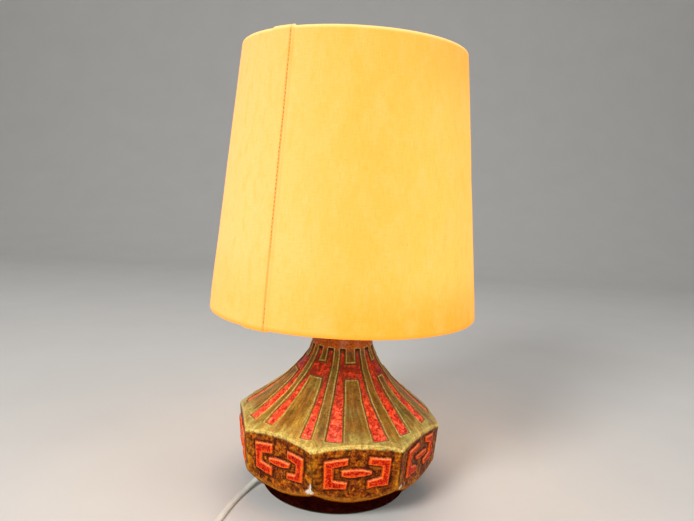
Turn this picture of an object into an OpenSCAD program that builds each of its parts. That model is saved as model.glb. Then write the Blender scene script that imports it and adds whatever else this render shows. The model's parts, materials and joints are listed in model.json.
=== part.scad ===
// Ceramic table lamp ("tv lamp") with an octagonal glazed base and a tapered
// fabric shade, E27 lampholder, in-line cord switch and flat two-pin plug.
// Units are millimetres. The origin is on the table, under the lamp's axis.
// +Z is up, and -Y faces the front: one of the eight flat sides faces -Y.

/* [Base] */
// Width of the base across two opposite corners of its rim
base_width = 201; // [197:1:205]
// Height of the rim corners above the table
rim_z = 70; // [68:0.5:72]
// Height of the lower corners of the flat sides
side_z = 32.4; // [31:0.2:34]
// How far each flat side leans in at its lower edge
side_lean = 2.7; // [1.5:0.1:3.5]
// Radius of the foot ring
foot_r = 71; // [69:0.5:72]
// Height of the ceramic neck's top edge
neck_top = 158; // [156:0.5:160]
// Depth of the recessed red stripes on the shoulder
stripe_depth = 0.9; // [0.5:0.1:1.2]
// How far the key pattern stands out from the flat sides
key_height = 1.5; // [0.8:0.1:1.8]

/* [Shade] */
// Outer radius of the shade at its lower edge
shade_low_r = 126.5; // [120:0.5:130]
// Outer radius of the shade at its upper edge
shade_top_r = 103.5; // [98:0.5:108]
// Height of the shade's lower edge
shade_z = 175; // [173:0.5:177]
// Height of the shade from edge to edge
shade_height = 242; // [225:1:250]
// Wire thickness of the shade's rings
ring_wire = 2.6; // [2.2:0.1:3]

/* [Lampholder] */
// Height of the shoulder that carries the shade's fitter ring
seat_z = 198; // [197:0.2:199]
// Outer radius of the lampholder's shade-ring thread
skirt_r = 19.75; // [19.5:0.05:20]
// Pitch of the bulb's E27 thread (7 threads an inch)
bulb_pitch = 3.629; // [3.629:3.629]
// Pitch of the shade ring's thread
ring_pitch = 2.5; // [2:0.25:3]

/* [Cord] */
// Width of the flat two-core cord
cord_width = 5.4; // [5:0.1:5.6]
// Thickness of the flat two-core cord
cord_thick = 3.2; // [3:0.1:3.4]
// Length of the in-line switch
switch_length = 62; // [60:1:66]
// Distance between the plug's two pins
pin_gap = 18.6; // [18.6:19]

/* [Hidden] */
$fn = 96;

side_apothem = base_width/2*cos(22.5);          // axis to a flat side, at the rim
lean_angle = atan(side_lean/(rim_z - side_z));
blank_r = 108;                    // body radius before the flat sides are cut
foot_z = 1.6;                     // underside of the foot ring
cord_z = 6.6;                     // height of the cord's hole through the foot
hole_step = 71.8;                 // distance from the axis where that hole widens
key_z = 48.8;                     // height of the key pattern's centre
holder_z = 164.3;                 // underside of the lampholder
bulb_z = holder_z + 26.8;         // lower rim of the bulb's cap, just over the slip washer

// ---------- shared helpers ----------
// Smooth curve through the points: position and direction at fraction t after point i
function curve_point(points, i, t) =
  let (last = len(points) - 1, before = points[max(i-1, 0)], start = points[i],
    end = points[min(i+1, last)], after = points[min(i+2, last)])
  0.5*(2*start + (end - before)*t + (2*before - 5*start + 4*end - after)*t*t
    + (3*start - before - 3*end + after)*t*t*t);
function curve_slope(points, i, t) =
  let (last = len(points) - 1, before = points[max(i-1, 0)], start = points[i],
    end = points[min(i+1, last)], after = points[min(i+2, last)])
  0.5*((end - before) + 2*(2*before - 5*start + 4*end - after)*t
    + 3*(3*start - before - 3*end + after)*t*t);
function unit(vector) = vector/max(norm(vector), 1e-9);
// Plane curve in steps per span, moved to the right of its direction; the last point is left out
function side_curve(points, steps, shift) =
  [for (i = [0:len(points)-2]) for (j = [0:steps-1])
    let (dir = unit(curve_slope(points, i, j/steps)))
    curve_point(points, i, j/steps) + shift*[dir[1], -dir[0]]];
// Point at an angle from -Y, positive towards +X
function polar(radius, angle) = [radius*sin(angle), -radius*cos(angle)];

module along_x(place) translate(place) rotate([0, 90, 0]) children();
module tube(outer_r, hole_r, height, hole_h) difference() {
  cylinder(r = outer_r, h = height);
  translate([0, 0, -1]) cylinder(r = hole_r, h = hole_h);
}
// Thread as separate ridges; root_half and crest_half are half of a ridge's width
module ridges(count, z, pitch, root_r, crest_r, root_half, crest_half)
  for (i = [0:count-1]) translate([0, 0, z + i*pitch]) rotate_extrude()
    polygon([[root_r, -root_half], [crest_r, -crest_half],
      [crest_r, crest_half], [root_r, root_half]]);
module rod(start, end, radius) {
  span = end - start;
  length = norm(span);
  translate(start) rotate([0, acos(span[2]/length), atan2(span[1], span[0])])
    cylinder(r = radius, h = length, $fn = 24);
}
// Wire through several points, with round elbows
module wire_run(points, radius) {
  for (i = [0:len(points)-2]) rod(points[i], points[i+1], radius);
  for (i = [1:len(points)-2]) translate(points[i]) sphere(r = radius*1.05, $fn = 24);
}

// ---------- base ----------
// [radius, z] of the shoulder and neck, from outside the rim to the neck's top
shoulder = [[blank_r, rim_z-7.2], [100.5, rim_z+1.4], [93.4, rim_z+6.2], [85.5, rim_z+11.5],
  [70.9, rim_z+21.8], [55.7, rim_z+34.5], [42.6, rim_z+48.7], [33.6, rim_z+61.6],
  [29.7, rim_z+71.6], [28.3, rim_z+79.5], [27.6, neck_top-1.2]];
// [radius, z] of the bowl under the flat sides, from the foot ring outwards
bowl = [[foot_r+0.6, 8.4], [foot_r+3.6, 11.2], [82, 17], [90, 24.4], [98, 33.4], [blank_r, 46]];
// [radius, z] of the hollow inside, open at the bottom
hollow = [[0, -1], [63, -1], [63, 8.4], [66, 12], [72, 16.6], [78, 22.4], [82, 30], [83.4, 40],
  [83.4, 60], [82, 67], [76, 73], [69, 79.3], [62, 85.6], [55, 92.2], [48, 99.6], [41, 108],
  [34, 118], [28, 128], [22.5, 137], [20, 143], [20, neck_top+1], [0, neck_top+1]];
// [radius, angle from -Y] of a stripe figure seen from above: two legs and a cross-bar
stripe = [[20, -16.8], [20, -6.6], [34.6, -6.8], [34.4, 1], [34.6, 9.6], [20, 10], [20, 20],
  [44, 18], [60, 17.8], [91.2, 18], [90.6, 13], [90, 8], [60, 8], [44.4, 8.4], [44, 0],
  [44.4, -8], [60, -8.2], [90, -8.6], [90.6, -13], [91.2, -18.4], [60, -18], [44, -17.6]];
// [across, up] of the key pattern's parts, from its centre on a flat side
key_bracket = [[8, 15.6], [30.2, 12.6], [30.2, -12], [8.2, -14.2], [8.2, -7.2], [20.4, -4.6],
  [20.4, 5.6], [8, 7.6]];
key_bar = [[-13.8, 2.8], [-7, 3.5], [0, 3.8], [7, 3.5], [13.8, 2.8], [13.8, -2.8], [7, -3.5],
  [0, -3.8], [-7, -3.5], [-13.8, -2.8]];

function shoulder_points(shift) = side_curve(shoulder, 3, shift);
module eight_times() for (i = [0:7]) rotate([0, 0, i*45]) children();
// Frame of each flat side: X across, Z up the leaning face, -Y outwards, origin at the rim
module on_flat_sides() eight_times()
  translate([0, -side_apothem, rim_z]) rotate([lean_angle, 0, 0]) children();

module round_blank() rotate_extrude()
  polygon(concat([[0, foot_z], [foot_r-1.2, foot_z], [foot_r, 3]],
    side_curve(bowl, 3, 0), [bowl[len(bowl)-1]], shoulder_points(0),
    [[27.6, neck_top-1.2], [26.8, neck_top], [0, neck_top]]));
module side_cuts() on_flat_sides() translate([-60, -40, -80]) cube([120, 40, 160]);
// Thin layer of the shoulder, limited to the stripe figures
module stripe_cuts() intersection() {
  difference() {
    rotate_extrude()
      polygon(concat([[0, 60], [blank_r, 60]], shoulder_points(4), [[0, rim_z+80]]));
    rotate_extrude()
      polygon(concat([[0, 55], [blank_r, 55]], shoulder_points(-stripe_depth), [[0, rim_z+85]]));
  }
  eight_times() translate([0, 0, 66]) linear_extrude(76)
    polygon([for (point = stripe) polar(point[0], point[1])]);
}
module keys() on_flat_sides()
  translate([0, 0, key_z-rim_z]) rotate([90, 0, 0])
    translate([0, 0, -1.5]) linear_extrude(key_height + 1.5) {
      polygon(key_bracket);
      mirror([1, 0]) polygon(key_bracket);
      translate([0, 0.8]) polygon(key_bar);
    }
module ceramic_body() color("#8a6a2c") difference() {
  union() {
    difference() {
      round_blank();
      side_cuts();
      stripe_cuts();
    }
    keys();
  }
  rotate_extrude() polygon(hollow);
  along_x([-96, 0, cord_z]) {
    cylinder(r = 5, h = 96-hole_step);
    cylinder(r = 4.3, h = 40);
  }
}
module felt_pad() color("#3c4a34") cylinder(r = foot_r - 1.6, h = 1.55);
module cord_grommet() color("#e9e6da") translate([0, 0, cord_z]) rotate([0, -90, 0]) difference() {
  union() {
    translate([0, 0, 61]) cylinder(r = 4.25, h = 13);
    translate([0, 0, hole_step+0.05]) cylinder(r1 = 4.9, r2 = 4.5, h = 2.4);
  }
  translate([0, 0, 60]) cylinder(r = 3.1, h = 25);
}

// ---------- neck fittings ----------
tube_z = 124;
tube_length = 50;
module neck_cap() color("#c9a35a") rotate_extrude()
  polygon([[5.1, neck_top+3.2], [5.1, neck_top+2], [23, neck_top+0.05], [30.4, neck_top+0.05],
    [30.4, neck_top-3], [31.4, neck_top-3], [31.4, neck_top+0.2], [30, neck_top+1.4],
    [24, neck_top+1.8]]);
module threaded_tube() color("#b9b6a8") difference() {
  union() {
    translate([0, 0, tube_z]) cylinder(r = 4.6, h = tube_length);
    ridges(49, tube_z+0.4, 1, 4.5, 4.98, 0.35, 0.06, $fn = 48);
  }
  translate([0, 0, tube_z-1]) cylinder(r = 3.6, h = tube_length+2);
}
module clamp_bar() color("#a8a8a4") translate([0, 0, 130.6]) difference() {
  intersection() {
    translate([-26, -8, 0]) cube([52, 16, 2.6]);
    cylinder(r = 24.2, h = 3);
  }
  translate([0, 0, -1]) cylinder(r = 5.15, h = 5);
}
module hex_nut(z, height) translate([0, 0, z]) difference() {
  cylinder(r = 8.1, h = height, $fn = 6);
  translate([0, 0, -1]) cylinder(r = 5.02, h = height + 2);
}
module clamp_nut() color("#a8a8a4") hex_nut(127.5, 3);
module neck_nut() color("#c9a35a") hex_nut(neck_top + 3.25, 3);

// ---------- lampholder (E27, with a threaded skirt for the shade ring) ----------
contact_z = holder_z + 14.85;     // underside of the two contacts' feet
terminal_x = 9;                   // terminal screws, either side of the axis
lock_z = holder_z + 6;            // height of the lock screw
module holder_cap() color("#1c1a18") difference() {
  rotate_extrude() translate([0, 0]) polygon([[5.05, holder_z], [8.5, holder_z],
    [9.5, holder_z+3], [14.6, holder_z+8], [17.6, holder_z+12.6], [18.2, holder_z+16],
    [18.2, holder_z+22], [15.8, holder_z+22], [15.8, holder_z+15.25], [14.4, holder_z+15.25],
    [13.4, holder_z+11.6], [10, holder_z+9.6], [5.05, holder_z+9.4]]);
  along_x([0, 0, lock_z]) cylinder(r = 1.6, h = 30);
}
module holder_skirt() color("#1c1a18") difference() {
  union() {
    translate([0, 0, holder_z+13.6]) cylinder(r = 19.9, h = seat_z - holder_z - 16.6);
    translate([0, 0, seat_z-3]) cylinder(r = 24.5, h = 3);
    translate([0, 0, seat_z-0.5]) cylinder(r = skirt_r - 0.55, h = 24.5);
    ridges(9, seat_z+2, ring_pitch, skirt_r-0.7, skirt_r, 0.9, 0.35);
  }
  translate([0, 0, holder_z+10]) cylinder(r = 18.3, h = 13);
  translate([0, 0, holder_z+20]) cylinder(r = 15.6, h = 60);
}
module holder_insert() color("#e8e3d4") difference() {
  translate([0, 0, holder_z+15.3]) cylinder(r = 15.5, h = 8.7);
  translate([-5.4, -3, holder_z+14]) cube([10.8, 6, 11]);
  translate([11.9, -2.6, holder_z+14]) cube([0.8, 5.2, 11]);
  for (s = [-1, 1]) translate([s*terminal_x, 0, holder_z+14]) cylinder(r = 1.7, h = 12);
}
module holder_screw_shell() color("#c9a35a") difference() {
  union() {
    translate([0, 0, holder_z+24.1]) cylinder(r = 13.8, h = 23.2);
    ridges(6, holder_z+27, bulb_pitch, 13.7, 14.3, 1.3, 0.5);
  }
  translate([0, 0, holder_z+25.2]) cylinder(r = 13.2, h = 30);
  translate([0, 0, holder_z+20]) cylinder(r = 11.6, h = 30);
}
module holder_slip_washer() color("#7d5a34")
  translate([0, 0, holder_z+25.3]) tube(13.1, 9.5, 1.4, 4);
module holder_centre_contact() color("#c9a35a") difference() {
  union() {
    translate([-11.4, -2.4, contact_z]) cube([7, 4.8, 0.4]);
    translate([-5, -2.4, contact_z]) cube([0.6, 4.8, 6.6]);
    translate([-5, -2.4, holder_z+20.95]) rotate([0, -20, 0]) cube([8, 4.8, 0.5]);
  }
  translate([-terminal_x, 0, holder_z+14]) cylinder(r = 1.7, h = 2);
}
module holder_side_contact() color("#c9a35a") difference() {
  union() {
    translate([6.4, -2.4, contact_z]) cube([6.2, 4.8, 0.4]);
    translate([12, -2.4, contact_z]) cube([0.6, 4.8, 9.2]);
  }
  translate([terminal_x, 0, holder_z+14]) cylinder(r = 1.7, h = 2);
}
module holder_terminal_screws() color("#b9b6a8")
  for (s = [-1, 1]) translate([s*terminal_x, 0, holder_z+12.2]) difference() {
    union() {
      cylinder(r = 2.3, h = 2.6);
      translate([0, 0, 2]) cylinder(r = 1.6, h = 9);
    }
    translate([-3, -0.4, -1]) cube([6, 0.8, 1.8]);
  }
module holder_lock_screw() color("#b9b6a8") along_x([5.1, 0, lock_z]) difference() {
  cylinder(r = 1.55, h = 5.6);
  translate([-2, -0.3, 4.9]) cube([4, 0.6, 1]);
}
// Single wire from the cord's end up and out to its terminal screw
module holder_wire(side) wire_run([[side*1.1, 0, holder_z+9.05],
  [side*1.1, 0, holder_z+11.4], [side*6.6, 0, holder_z+13.4]], 0.8);
module wire_live() color("#6b3a1e") holder_wire(1);
module wire_neutral() color("#3463a8") holder_wire(-1);

// ---------- shade ring ----------
module ring_washer() color("#d8d2c0") translate([0, 0, seat_z+1.3]) tube(24, 20.15, 0.6, 3);
module shade_ring_nut() color("#1c1a18") difference() {
  union() {
    translate([0, 0, seat_z+1.95]) cylinder(r = 24, h = 2.4);
    translate([0, 0, seat_z+4]) cylinder(r = 22.4, h = 5);
    for (i = [0:23]) rotate([0, 0, i*15])
      translate([22.4, 0, seat_z+4]) cylinder(r = 0.9, h = 5, $fn = 24);
  }
  translate([0, 0, seat_z]) cylinder(r = skirt_r + 0.07, h = 20);
}

// ---------- bulb (60 mm envelope, 27 mm screw cap) ----------
// [radius, z] of the glass above its neck, from 3 mm under bulb_z
glass = [[13.4, 27.6], [14.2, 32], [15.3, 35.4], [19, 42], [24, 50.5], [27.8, 58.4], [29.6, 65.6],
  [30, 72], [29.2, 79.4], [26.8, 86.6], [22.4, 93.2], [16.4, 98.2], [8.6, 101.5], [0, 102.4]];
function glass_points(inset) = concat([[11.7-inset, 21], [11.7-inset, 25.4]],
  side_curve(glass, 2, -inset), [[0, 102.4-inset]]);
module at_bulb() translate([0, 0, bulb_z]) children();
module bulb_glass() color("#f4efe0", 0.4) translate([0, 0, bulb_z-3]) rotate_extrude()
  polygon(concat(glass_points(0),
    let (inner = glass_points(0.7)) [for (i = [len(inner)-1:-1:0]) inner[i]]));
module bulb_cap() color("#c8c4b6") at_bulb() difference() {
  union() {
    translate([0, 0, 1.2]) cylinder(r = 12.4, h = 20.6);
    ridges(5, 3.4, bulb_pitch, 12.3, 13.1, 1.5, 0.55);
    cylinder(r1 = 11.2, r2 = 12.4, h = 1.3);
    translate([0, 0, 20.9]) cylinder(r1 = 12.4, r2 = 13.7, h = 1.5);
  }
  translate([0, 0, 0.8]) cylinder(r = 11.9, h = 30);
  translate([0, 0, -1]) cylinder(r = 9.05, h = 3);
}
module bulb_insulator() color("#1a1a1c") at_bulb() rotate_extrude()
  polygon([[4.6, -2], [9, 0], [9, 0.9], [11.4, 0.9], [11.4, 2.4], [4.6, 2.4]]);
module bulb_tip_contact() color("#c8c4b6") at_bulb() rotate_extrude()
  polygon([[0, -2.4], [3.2, -2.2], [4.5, -1.4], [4.5, 1.6], [0, 1.6]]);
module bulb_stem() color("#e8efe8", 0.5) at_bulb() rotate_extrude()
  polygon([[0, 19.2], [10.7, 19.2], [10.7, 20.6], [8.6, 24], [5.2, 32], [3.2, 38],
    [2.2, 42], [2, 52], [1.4, 53], [0, 53.3]]);
module bulb_support_wires() color("#b0aca0") at_bulb() for (s = [-1, 1]) {
  rod([s*2.9, 0, 42], [s*15.6, 0, 60], 0.35);
  rod([s*1.6, -2, 45], [s*5.1, -11.9, 59.55], 0.25);
}
// The filament is a level arc that bows towards -Y between the two long supports
// and passes just over the two short ones
arc_r = 16.37;
arc_half_angle = asin(16/arc_r);
module bulb_filament() color("#ffd98a")
  translate([0, arc_r - 12.9, bulb_z + 60.4]) rotate([0, 0, -90 - arc_half_angle])
    rotate_extrude(angle = 2*arc_half_angle) translate([arc_r, 0]) circle(r = 0.5, $fn = 32);

// ---------- shade ----------
shade_top = shade_z + shade_height;
shade_taper = (shade_low_r - shade_top_r)/shade_height;
function shade_r(z) = shade_low_r - (z - shade_z)*shade_taper;   // outer radius at height z
cloth_low = shade_z + 3.6;
cloth_top = shade_top - 3.6;
seam_angle = -43.2;               // sewn line, from -Y; negative is towards -X
wire_r = ring_wire/2;
low_ring_z = shade_z + 1.8;
top_ring_z = shade_top - 1.8;
low_ring_r = shade_r(low_ring_z) - 2;
top_ring_r = shade_r(top_ring_z) - 2;
arm_angles = [30, 150, 270];

// Layer of the cone: its outer face lies inset from the shade's outer radius
module cone_skin(inset, thick) rotate_extrude()
  polygon([[shade_r(cloth_low)-inset-thick, cloth_low], [shade_r(cloth_low)-inset, cloth_low],
    [shade_r(cloth_top)-inset, cloth_top], [shade_r(cloth_top)-inset-thick, cloth_top]]);
module shade_fabric() color("#f5b63c") cone_skin(0, 0.6);
module shade_backing() color("#fbe6b0") cone_skin(0.65, 0.45);
// Overlap of the cloth along its seam: a strip along the slant, on the outside
module shade_seam_flap() color("#f5b63c") intersection() {
  cone_skin(-0.55, 0.5);
  linear_extrude(500) polygon([[0, 0], polar(160, seam_angle - 11),
    polar(160, seam_angle - 4), polar(160, seam_angle + 1.5)]);
}
module wire_ring(radius, z) translate([0, 0, z]) rotate_extrude()
  translate([radius, 0]) circle(r = wire_r, $fn = 32);
module hem(radius, z) translate([0, 0, z]) rotate_extrude() difference() {
  translate([radius, 0]) circle(r = 1.75, $fn = 32);
  translate([radius, 0]) circle(r = wire_r+0.04, $fn = 32);
}
// Arms from the fitter ring down and out to the lower wire ring
module arms(radius) for (angle = arm_angles) rotate([0, 0, angle])
  rod([24.9, 0, seat_z+0.65], [low_ring_r-0.2, 0, low_ring_z], radius);
module shade_top_wire() color("#9a978e") wire_ring(top_ring_r, top_ring_z);
module shade_top_hem() color("#f8c458") hem(top_ring_r, top_ring_z);
module shade_bottom_hem() color("#f2a52c") difference() {
  hem(low_ring_r, low_ring_z);
  arms(1.45);
}
module shade_bottom_frame() color("#e9e4d6") union() {
  wire_ring(low_ring_r, low_ring_z);
  arms(1.25);
  difference() {
    translate([0, 0, seat_z+0.05]) cylinder(r = 25.5, h = 1.2);
    translate([0, 0, seat_z-1]) cylinder(r = 20.6, h = 4);
  }
}

// ---------- cord ----------
plug_x = 70;                      // plug's origin, near where the cord enters its body
plug_y = -155;
plug_z = 6.85;
// Centre line from inside the lampholder, down the tube, out of the base, to the switch
lamp_path = [[0,0,holder_z+9], [0,0,160], [0,0,150], [0,0,136], [0,0,122], [0,0,110], [-1,0,90],
  [-8,0,62], [-21,0,36], [-38,0,16.5], [-52,0,8.4], [-62,0,cord_z], [-69,0,cord_z],
  [-75.8,-0.3,cord_z-0.3], [-82.5,-6,3.8], [-89.5,-15.5,2], [-96.5,-26,1.7], [-103.5,-38.5,1.7],
  [-111.2,-55,1.7], [-119,-73,1.7], [-124,-98,1.7], [-121,-129,1.7], [-108,-150,2.2],
  [-94,-158.4,4.4], [-85,-160,6.8], [-77,-160,7], [-72,-160,7], [-67,-160,7]];
// Centre line from the switch to the plug
plug_path = [[-23,-160,7], [-17,-160,7], [-12,-160,6.8], [-4,-160.8,4.8], [6,-163.5,2.2],
  [18,-167,1.7], [30,-166.4,1.8], [41,-160,2.8], [50,-155.8,5.4], [58,plug_y,plug_z],
  [66,plug_y,plug_z], [74,plug_y,plug_z], [81,plug_y,plug_z]];
// Cross-section [across, up]: two half-round ends
cord_oval = [for (s = [1, -1]) for (i = [0:6]) let (angle = 30*i - 90*s)
  [s*(cord_width/2 - cord_thick/2) + cord_thick/2*cos(angle), cord_thick/2*sin(angle)]];
// The bias sets which way the oval faces where the path runs straight up or down
module cord(path, bias) {
  steps = 4;
  last = len(path) - 1;
  sides = len(cord_oval);
  stations = [for (i = [0:last-1]) for (j = [0:steps-1]) [i, j/steps], [last-1, 1]];
  points = [for (at = stations)
    let (centre = curve_point(path, at[0], at[1]), dir = unit(curve_slope(path, at[0], at[1])),
      level = unit([dir[0], dir[1], 0] + 0.02*bias), across = [-level[1], level[0], 0],
      up = unit(cross(dir, across)))
    for (offset = cord_oval) centre + offset[0]*across + offset[1]*up];
  count = len(stations);
  polyhedron(points, concat(
    [[for (i = [sides-1:-1:0]) i]],
    [[for (i = [0:sides-1]) (count-1)*sides + i]],
    [for (k = [0:count-2]) for (i = [0:sides-1])
      [k*sides+i, k*sides+(i+1)%sides, (k+1)*sides+(i+1)%sides]],
    [for (k = [0:count-2]) for (i = [0:sides-1])
      [k*sides+i, (k+1)*sides+(i+1)%sides, (k+1)*sides+i]]));
}
module cord_lamp_side() color("#efede4") cord(lamp_path, [-1, 0, 0]);
module cord_plug_side() color("#efede4") cord(plug_path, [1, 0, 0]);

// ---------- in-line switch: its length lies along X ----------
switch_width = 27;
switch_top = 16;
pivot_z = 11;                     // height of the rocker's pivot
rocker_tilt = 7;                  // switched on: the rocker's +X half is pressed down
post_x = 14.6;                    // terminal posts, either side of the middle
module at_switch() translate([-45, -160, 0]) children();
// Block with rounded ends and corners; trim is taken off the switch's length and width
module slab(trim, corner_r, low, high) {
  length = switch_length - trim;
  width = switch_width - trim;
  translate([0, 0, low]) linear_extrude(high - low) union() {
    square([length - 2*corner_r, width], center = true);
    square([length, width - 2*corner_r], center = true);
    for (a = [-1, 1]) for (b = [-1, 1])
      translate([a*(length/2 - corner_r), b*(width/2 - corner_r)]) circle(r = corner_r, $fn = 48);
  }
}
module cord_way() along_x([-40, 0, 7]) cylinder(r = 3, h = 80);
module at_bosses(z) for (s = [-1, 1]) translate([s*23, -s*7.5, z]) children();
module cord_blocks(z, height)
  for (s = [-1, 1]) translate([s*25 - 1.6, -4.1, z]) cube([3.2, 8.2, height]);
module switch_base() color("#f1efe6") at_switch() {
  difference() {
    union() {
      slab(2, 8, 0, 1.2);
      slab(0, 9, 1.2, 6.95);
    }
    difference() {
      slab(5, 7, 2.2, 8);
      at_bosses(0) cylinder(r = 3.2, h = 8);
    }
    cord_way();
    at_bosses(-1) {
      cylinder(r = 1.5, h = 12);
      cylinder(r = 2.9, h = 3.2);
    }
  }
  cord_blocks(2, 3.35);
}
module switch_cover() color("#f1efe6") at_switch() difference() {
  union() {
    slab(0, 9, 7, 13.6);
    slab(2.4, 8, 13.6, 15);
    slab(5, 7, 15, switch_top);
  }
  difference() {
    slab(5, 7, 6, 13.2);
    at_bosses(0) cylinder(r = 3.2, h = 20);
    for (s = [-1, 1]) translate([-4, s*8.05 - 1.55, 8.4]) cube([8, 3.1, 8]);
  }
  cord_way();
  translate([-11.2, -6.4, 5]) cube([22.4, 12.8, 15]);
  translate([0, -9.5, pivot_z]) rotate([-90, 0, 0]) cylinder(r = 1.54, h = 19);
  at_bosses(6) cylinder(r = 1.1, h = 6);
}
module switch_rocker() color("#f1efe6")
  at_switch() translate([0, 0, pivot_z]) rotate([0, rocker_tilt, 0]) difference() {
    union() {
      translate([0, 6, 0]) rotate([90, 0, 0]) linear_extrude(12)
        polygon([[-10.6, -2], [-10.8, 2], [-10, 7.2], [-7.5, 6.3], [-5, 5.65], [-2.5, 5.2], [0, 5],
          [2.5, 5.2], [5, 5.65], [7.5, 6.3], [10, 7.2], [10.8, 2], [10.6, -2], [3, -2.4],
          [-3, -2.4]]);
      translate([0, 6, 0]) rotate([90, 0, 0]) cylinder(r = 3.2, h = 12);
      translate([-0.6, -2, -6.6]) cube([1.2, 4, 5]);
    }
    translate([0, 8, 0]) rotate([90, 0, 0]) cylinder(r = 1.55, h = 16);
  }
module switch_pivot_pin() color("#b9b6a8")
  at_switch() translate([0, -9.4, pivot_z]) rotate([-90, 0, 0]) cylinder(r = 1.5, h = 18.8);
// See-saw blade under the rocker; it tips the other way on its rolled pivot
module switch_contact_blade() color("#c98a4a")
  at_switch() translate([0, 0, 3.6]) rotate([0, -rocker_tilt*0.6, 0]) {
    translate([-9, -2.5, 0]) cube([18, 5, 0.6]);
    translate([0, 2.2, 0]) rotate([90, 0, 0]) cylinder(r = 0.5, h = 4.4, $fn = 32);
    for (s = [-1, 1]) translate([s*7.4, 0, 0.5]) cylinder(r = 1.3, h = 0.5, $fn = 32);
  }
module switch_terminals() color("#c9a35a") at_switch() difference() {
  union() {
    for (s = [-1, 1]) translate([s*post_x - 3, -3, 2.25]) cube([6, 6, 2.2]);
    translate([-12, -2, 2.25]) cube([4.8, 4, 0.35]);
    translate([-7.8, 0, 2.4]) cylinder(r = 1.3, h = 0.5, $fn = 32);
    translate([-1.5, -2, 2.25]) cube([13.5, 4, 0.35]);
    translate([-0.4, -2, 2.4]) cube([0.8, 4, 0.66]);
  }
  for (s = [-1, 1]) translate([s*post_x, 0, 0]) cylinder(r = 1.2, h = 8);
}
module switch_terminal_screws() color("#b9b6a8")
  at_switch() for (s = [-1, 1]) translate([s*post_x, 0, 2.5]) difference() {
    union() {
      cylinder(r = 1.15, h = 3);
      translate([0, 0, 2]) cylinder(r = 2.2, h = 1.6);
    }
    translate([-3, -0.3, 2.8]) cube([6, 0.6, 1]);
  }
// One core is cut and joined to the terminals, the other runs straight through
module switch_cores() color("#6b3a1e") at_switch() {
  for (s = [-1, 1])
    wire_run([[s*21.95, -1.1, 7], [s*20.6, -1.1, 7], [s*18.5, 0, 3.6]], 0.75);
  wire_run([[-21.95, 1.1, 7], [-20.6, 1.1, 7], [-16.4, 5, 5],
    [16.4, 5, 5], [20.6, 1.1, 7], [21.95, 1.1, 7]], 0.75);
}
module switch_case_screws() color("#b9b6a8") at_switch() at_bosses(0.6) difference() {
  union() {
    cylinder(r = 2.8, h = 1.5);
    translate([0, 0, 1]) cylinder(r = 1.05, h = 9.6);
  }
  translate([-3, -0.4, -1]) cube([6, 0.8, 1.8]);
  translate([-0.4, -3, -1]) cube([0.8, 6, 1.8]);
}
module switch_cord_clamps() color("#f1efe6") at_switch() cord_blocks(8.65, 4.5);

// ---------- plug: flat two-pin, its pins point along +X ----------
module at_plug() translate([plug_x, plug_y, 0]) children();
module at_pins(x) for (s = [-1, 1]) along_x([x, s*pin_gap/2, plug_z]) children();
// Both cores, spreading from the cord to the pins; extra lengthens them at each end
module core_pair(radius, extra) for (s = [-1, 1]) translate([0, 0, plug_z])
  rod([11.65 - extra, s*(1.5 - 0.72*extra), 0], [21.6 + extra, s*(8.7 + 0.72*extra), 0], radius);
module plug_body() color("#f1efe6") at_plug() difference() {
  union() {
    translate([16, 0, 0.4]) linear_extrude(12.9)
      polygon([[-5, -17.2], [14, -17.6], [18, -16], [19, -12], [19, 12], [18, 16], [14, 17.6],
        [-5, 17.2], [-11, 12], [-13.5, 7], [-14.5, 5.2], [-14.5, -5.2], [-13.5, -7], [-11, -12]]);
    translate([17, 0, 0]) linear_extrude(13.7)
      polygon([[-6, -13], [16, -14], [16, 14], [-6, 13], [-12, 5], [-12, -5]]);
    along_x([-10, 0, plug_z]) cylinder(r1 = 3.9, r2 = 5.2, h = 14);
  }
  along_x([-11, 0, plug_z]) cylinder(r = 3.05, h = 24);
  at_pins(22) {
    cylinder(r = 2.62, h = 3.3);
    cylinder(r = 1.82, h = 20);
  }
  core_pair(0.85, 1.2);
}
module plug_cores() color("#3463a8") at_plug() core_pair(0.75, 0);
module plug_pins() color("#c8c4b6") at_plug() at_pins(22.2) {
  cylinder(r = 2.6, h = 3);
  translate([0, 0, 2.5]) cylinder(r = 1.4, h = 21);
  translate([0, 0, 22.8]) cylinder(r = 2, h = 7.8);
  translate([0, 0, 30.5]) cylinder(r1 = 2, r2 = 1.2, h = 1.3);
}
module plug_pin_sleeves() color("#2a2a2c") at_plug() at_pins(25.3) tube(1.8, 1.41, 19.6, 24);

ceramic_body();
felt_pad();
cord_grommet();
neck_cap();
threaded_tube();
clamp_bar();
clamp_nut();
neck_nut();
holder_cap();
holder_skirt();
holder_insert();
holder_screw_shell();
holder_centre_contact();
holder_side_contact();
holder_terminal_screws();
holder_slip_washer();
holder_lock_screw();
wire_live();
wire_neutral();
ring_washer();
shade_ring_nut();
bulb_glass();
bulb_cap();
bulb_insulator();
bulb_tip_contact();
bulb_stem();
bulb_support_wires();
bulb_filament();
shade_fabric();
shade_backing();
shade_seam_flap();
shade_top_wire();
shade_bottom_frame();
shade_top_hem();
shade_bottom_hem();
cord_lamp_side();
cord_plug_side();
switch_base();
switch_cover();
switch_rocker();
switch_pivot_pin();
switch_contact_blade();
switch_terminals();
switch_terminal_screws();
switch_cores();
switch_case_screws();
switch_cord_clamps();
plug_body();
plug_pins();
plug_pin_sleeves();
plug_cores();
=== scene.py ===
"""Ceramic table lamp with a lit linen shade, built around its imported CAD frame.

Metres, +Z up, floor at z = 0. The eight-sided glazed base, the bulb and the tapered shade share
the Z axis, and one flat side of the base faces the front, -Y. The cord leaves the foot at -X and
lies in front of the base: first to the switch, then towards +X to the plug. Shapes are worked
out in millimetres, and bearings are degrees from -Y towards +X.
"""
import json
import math
from types import SimpleNamespace

import bpy
import numpy as np
from mathutils import Matrix, Vector


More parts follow.
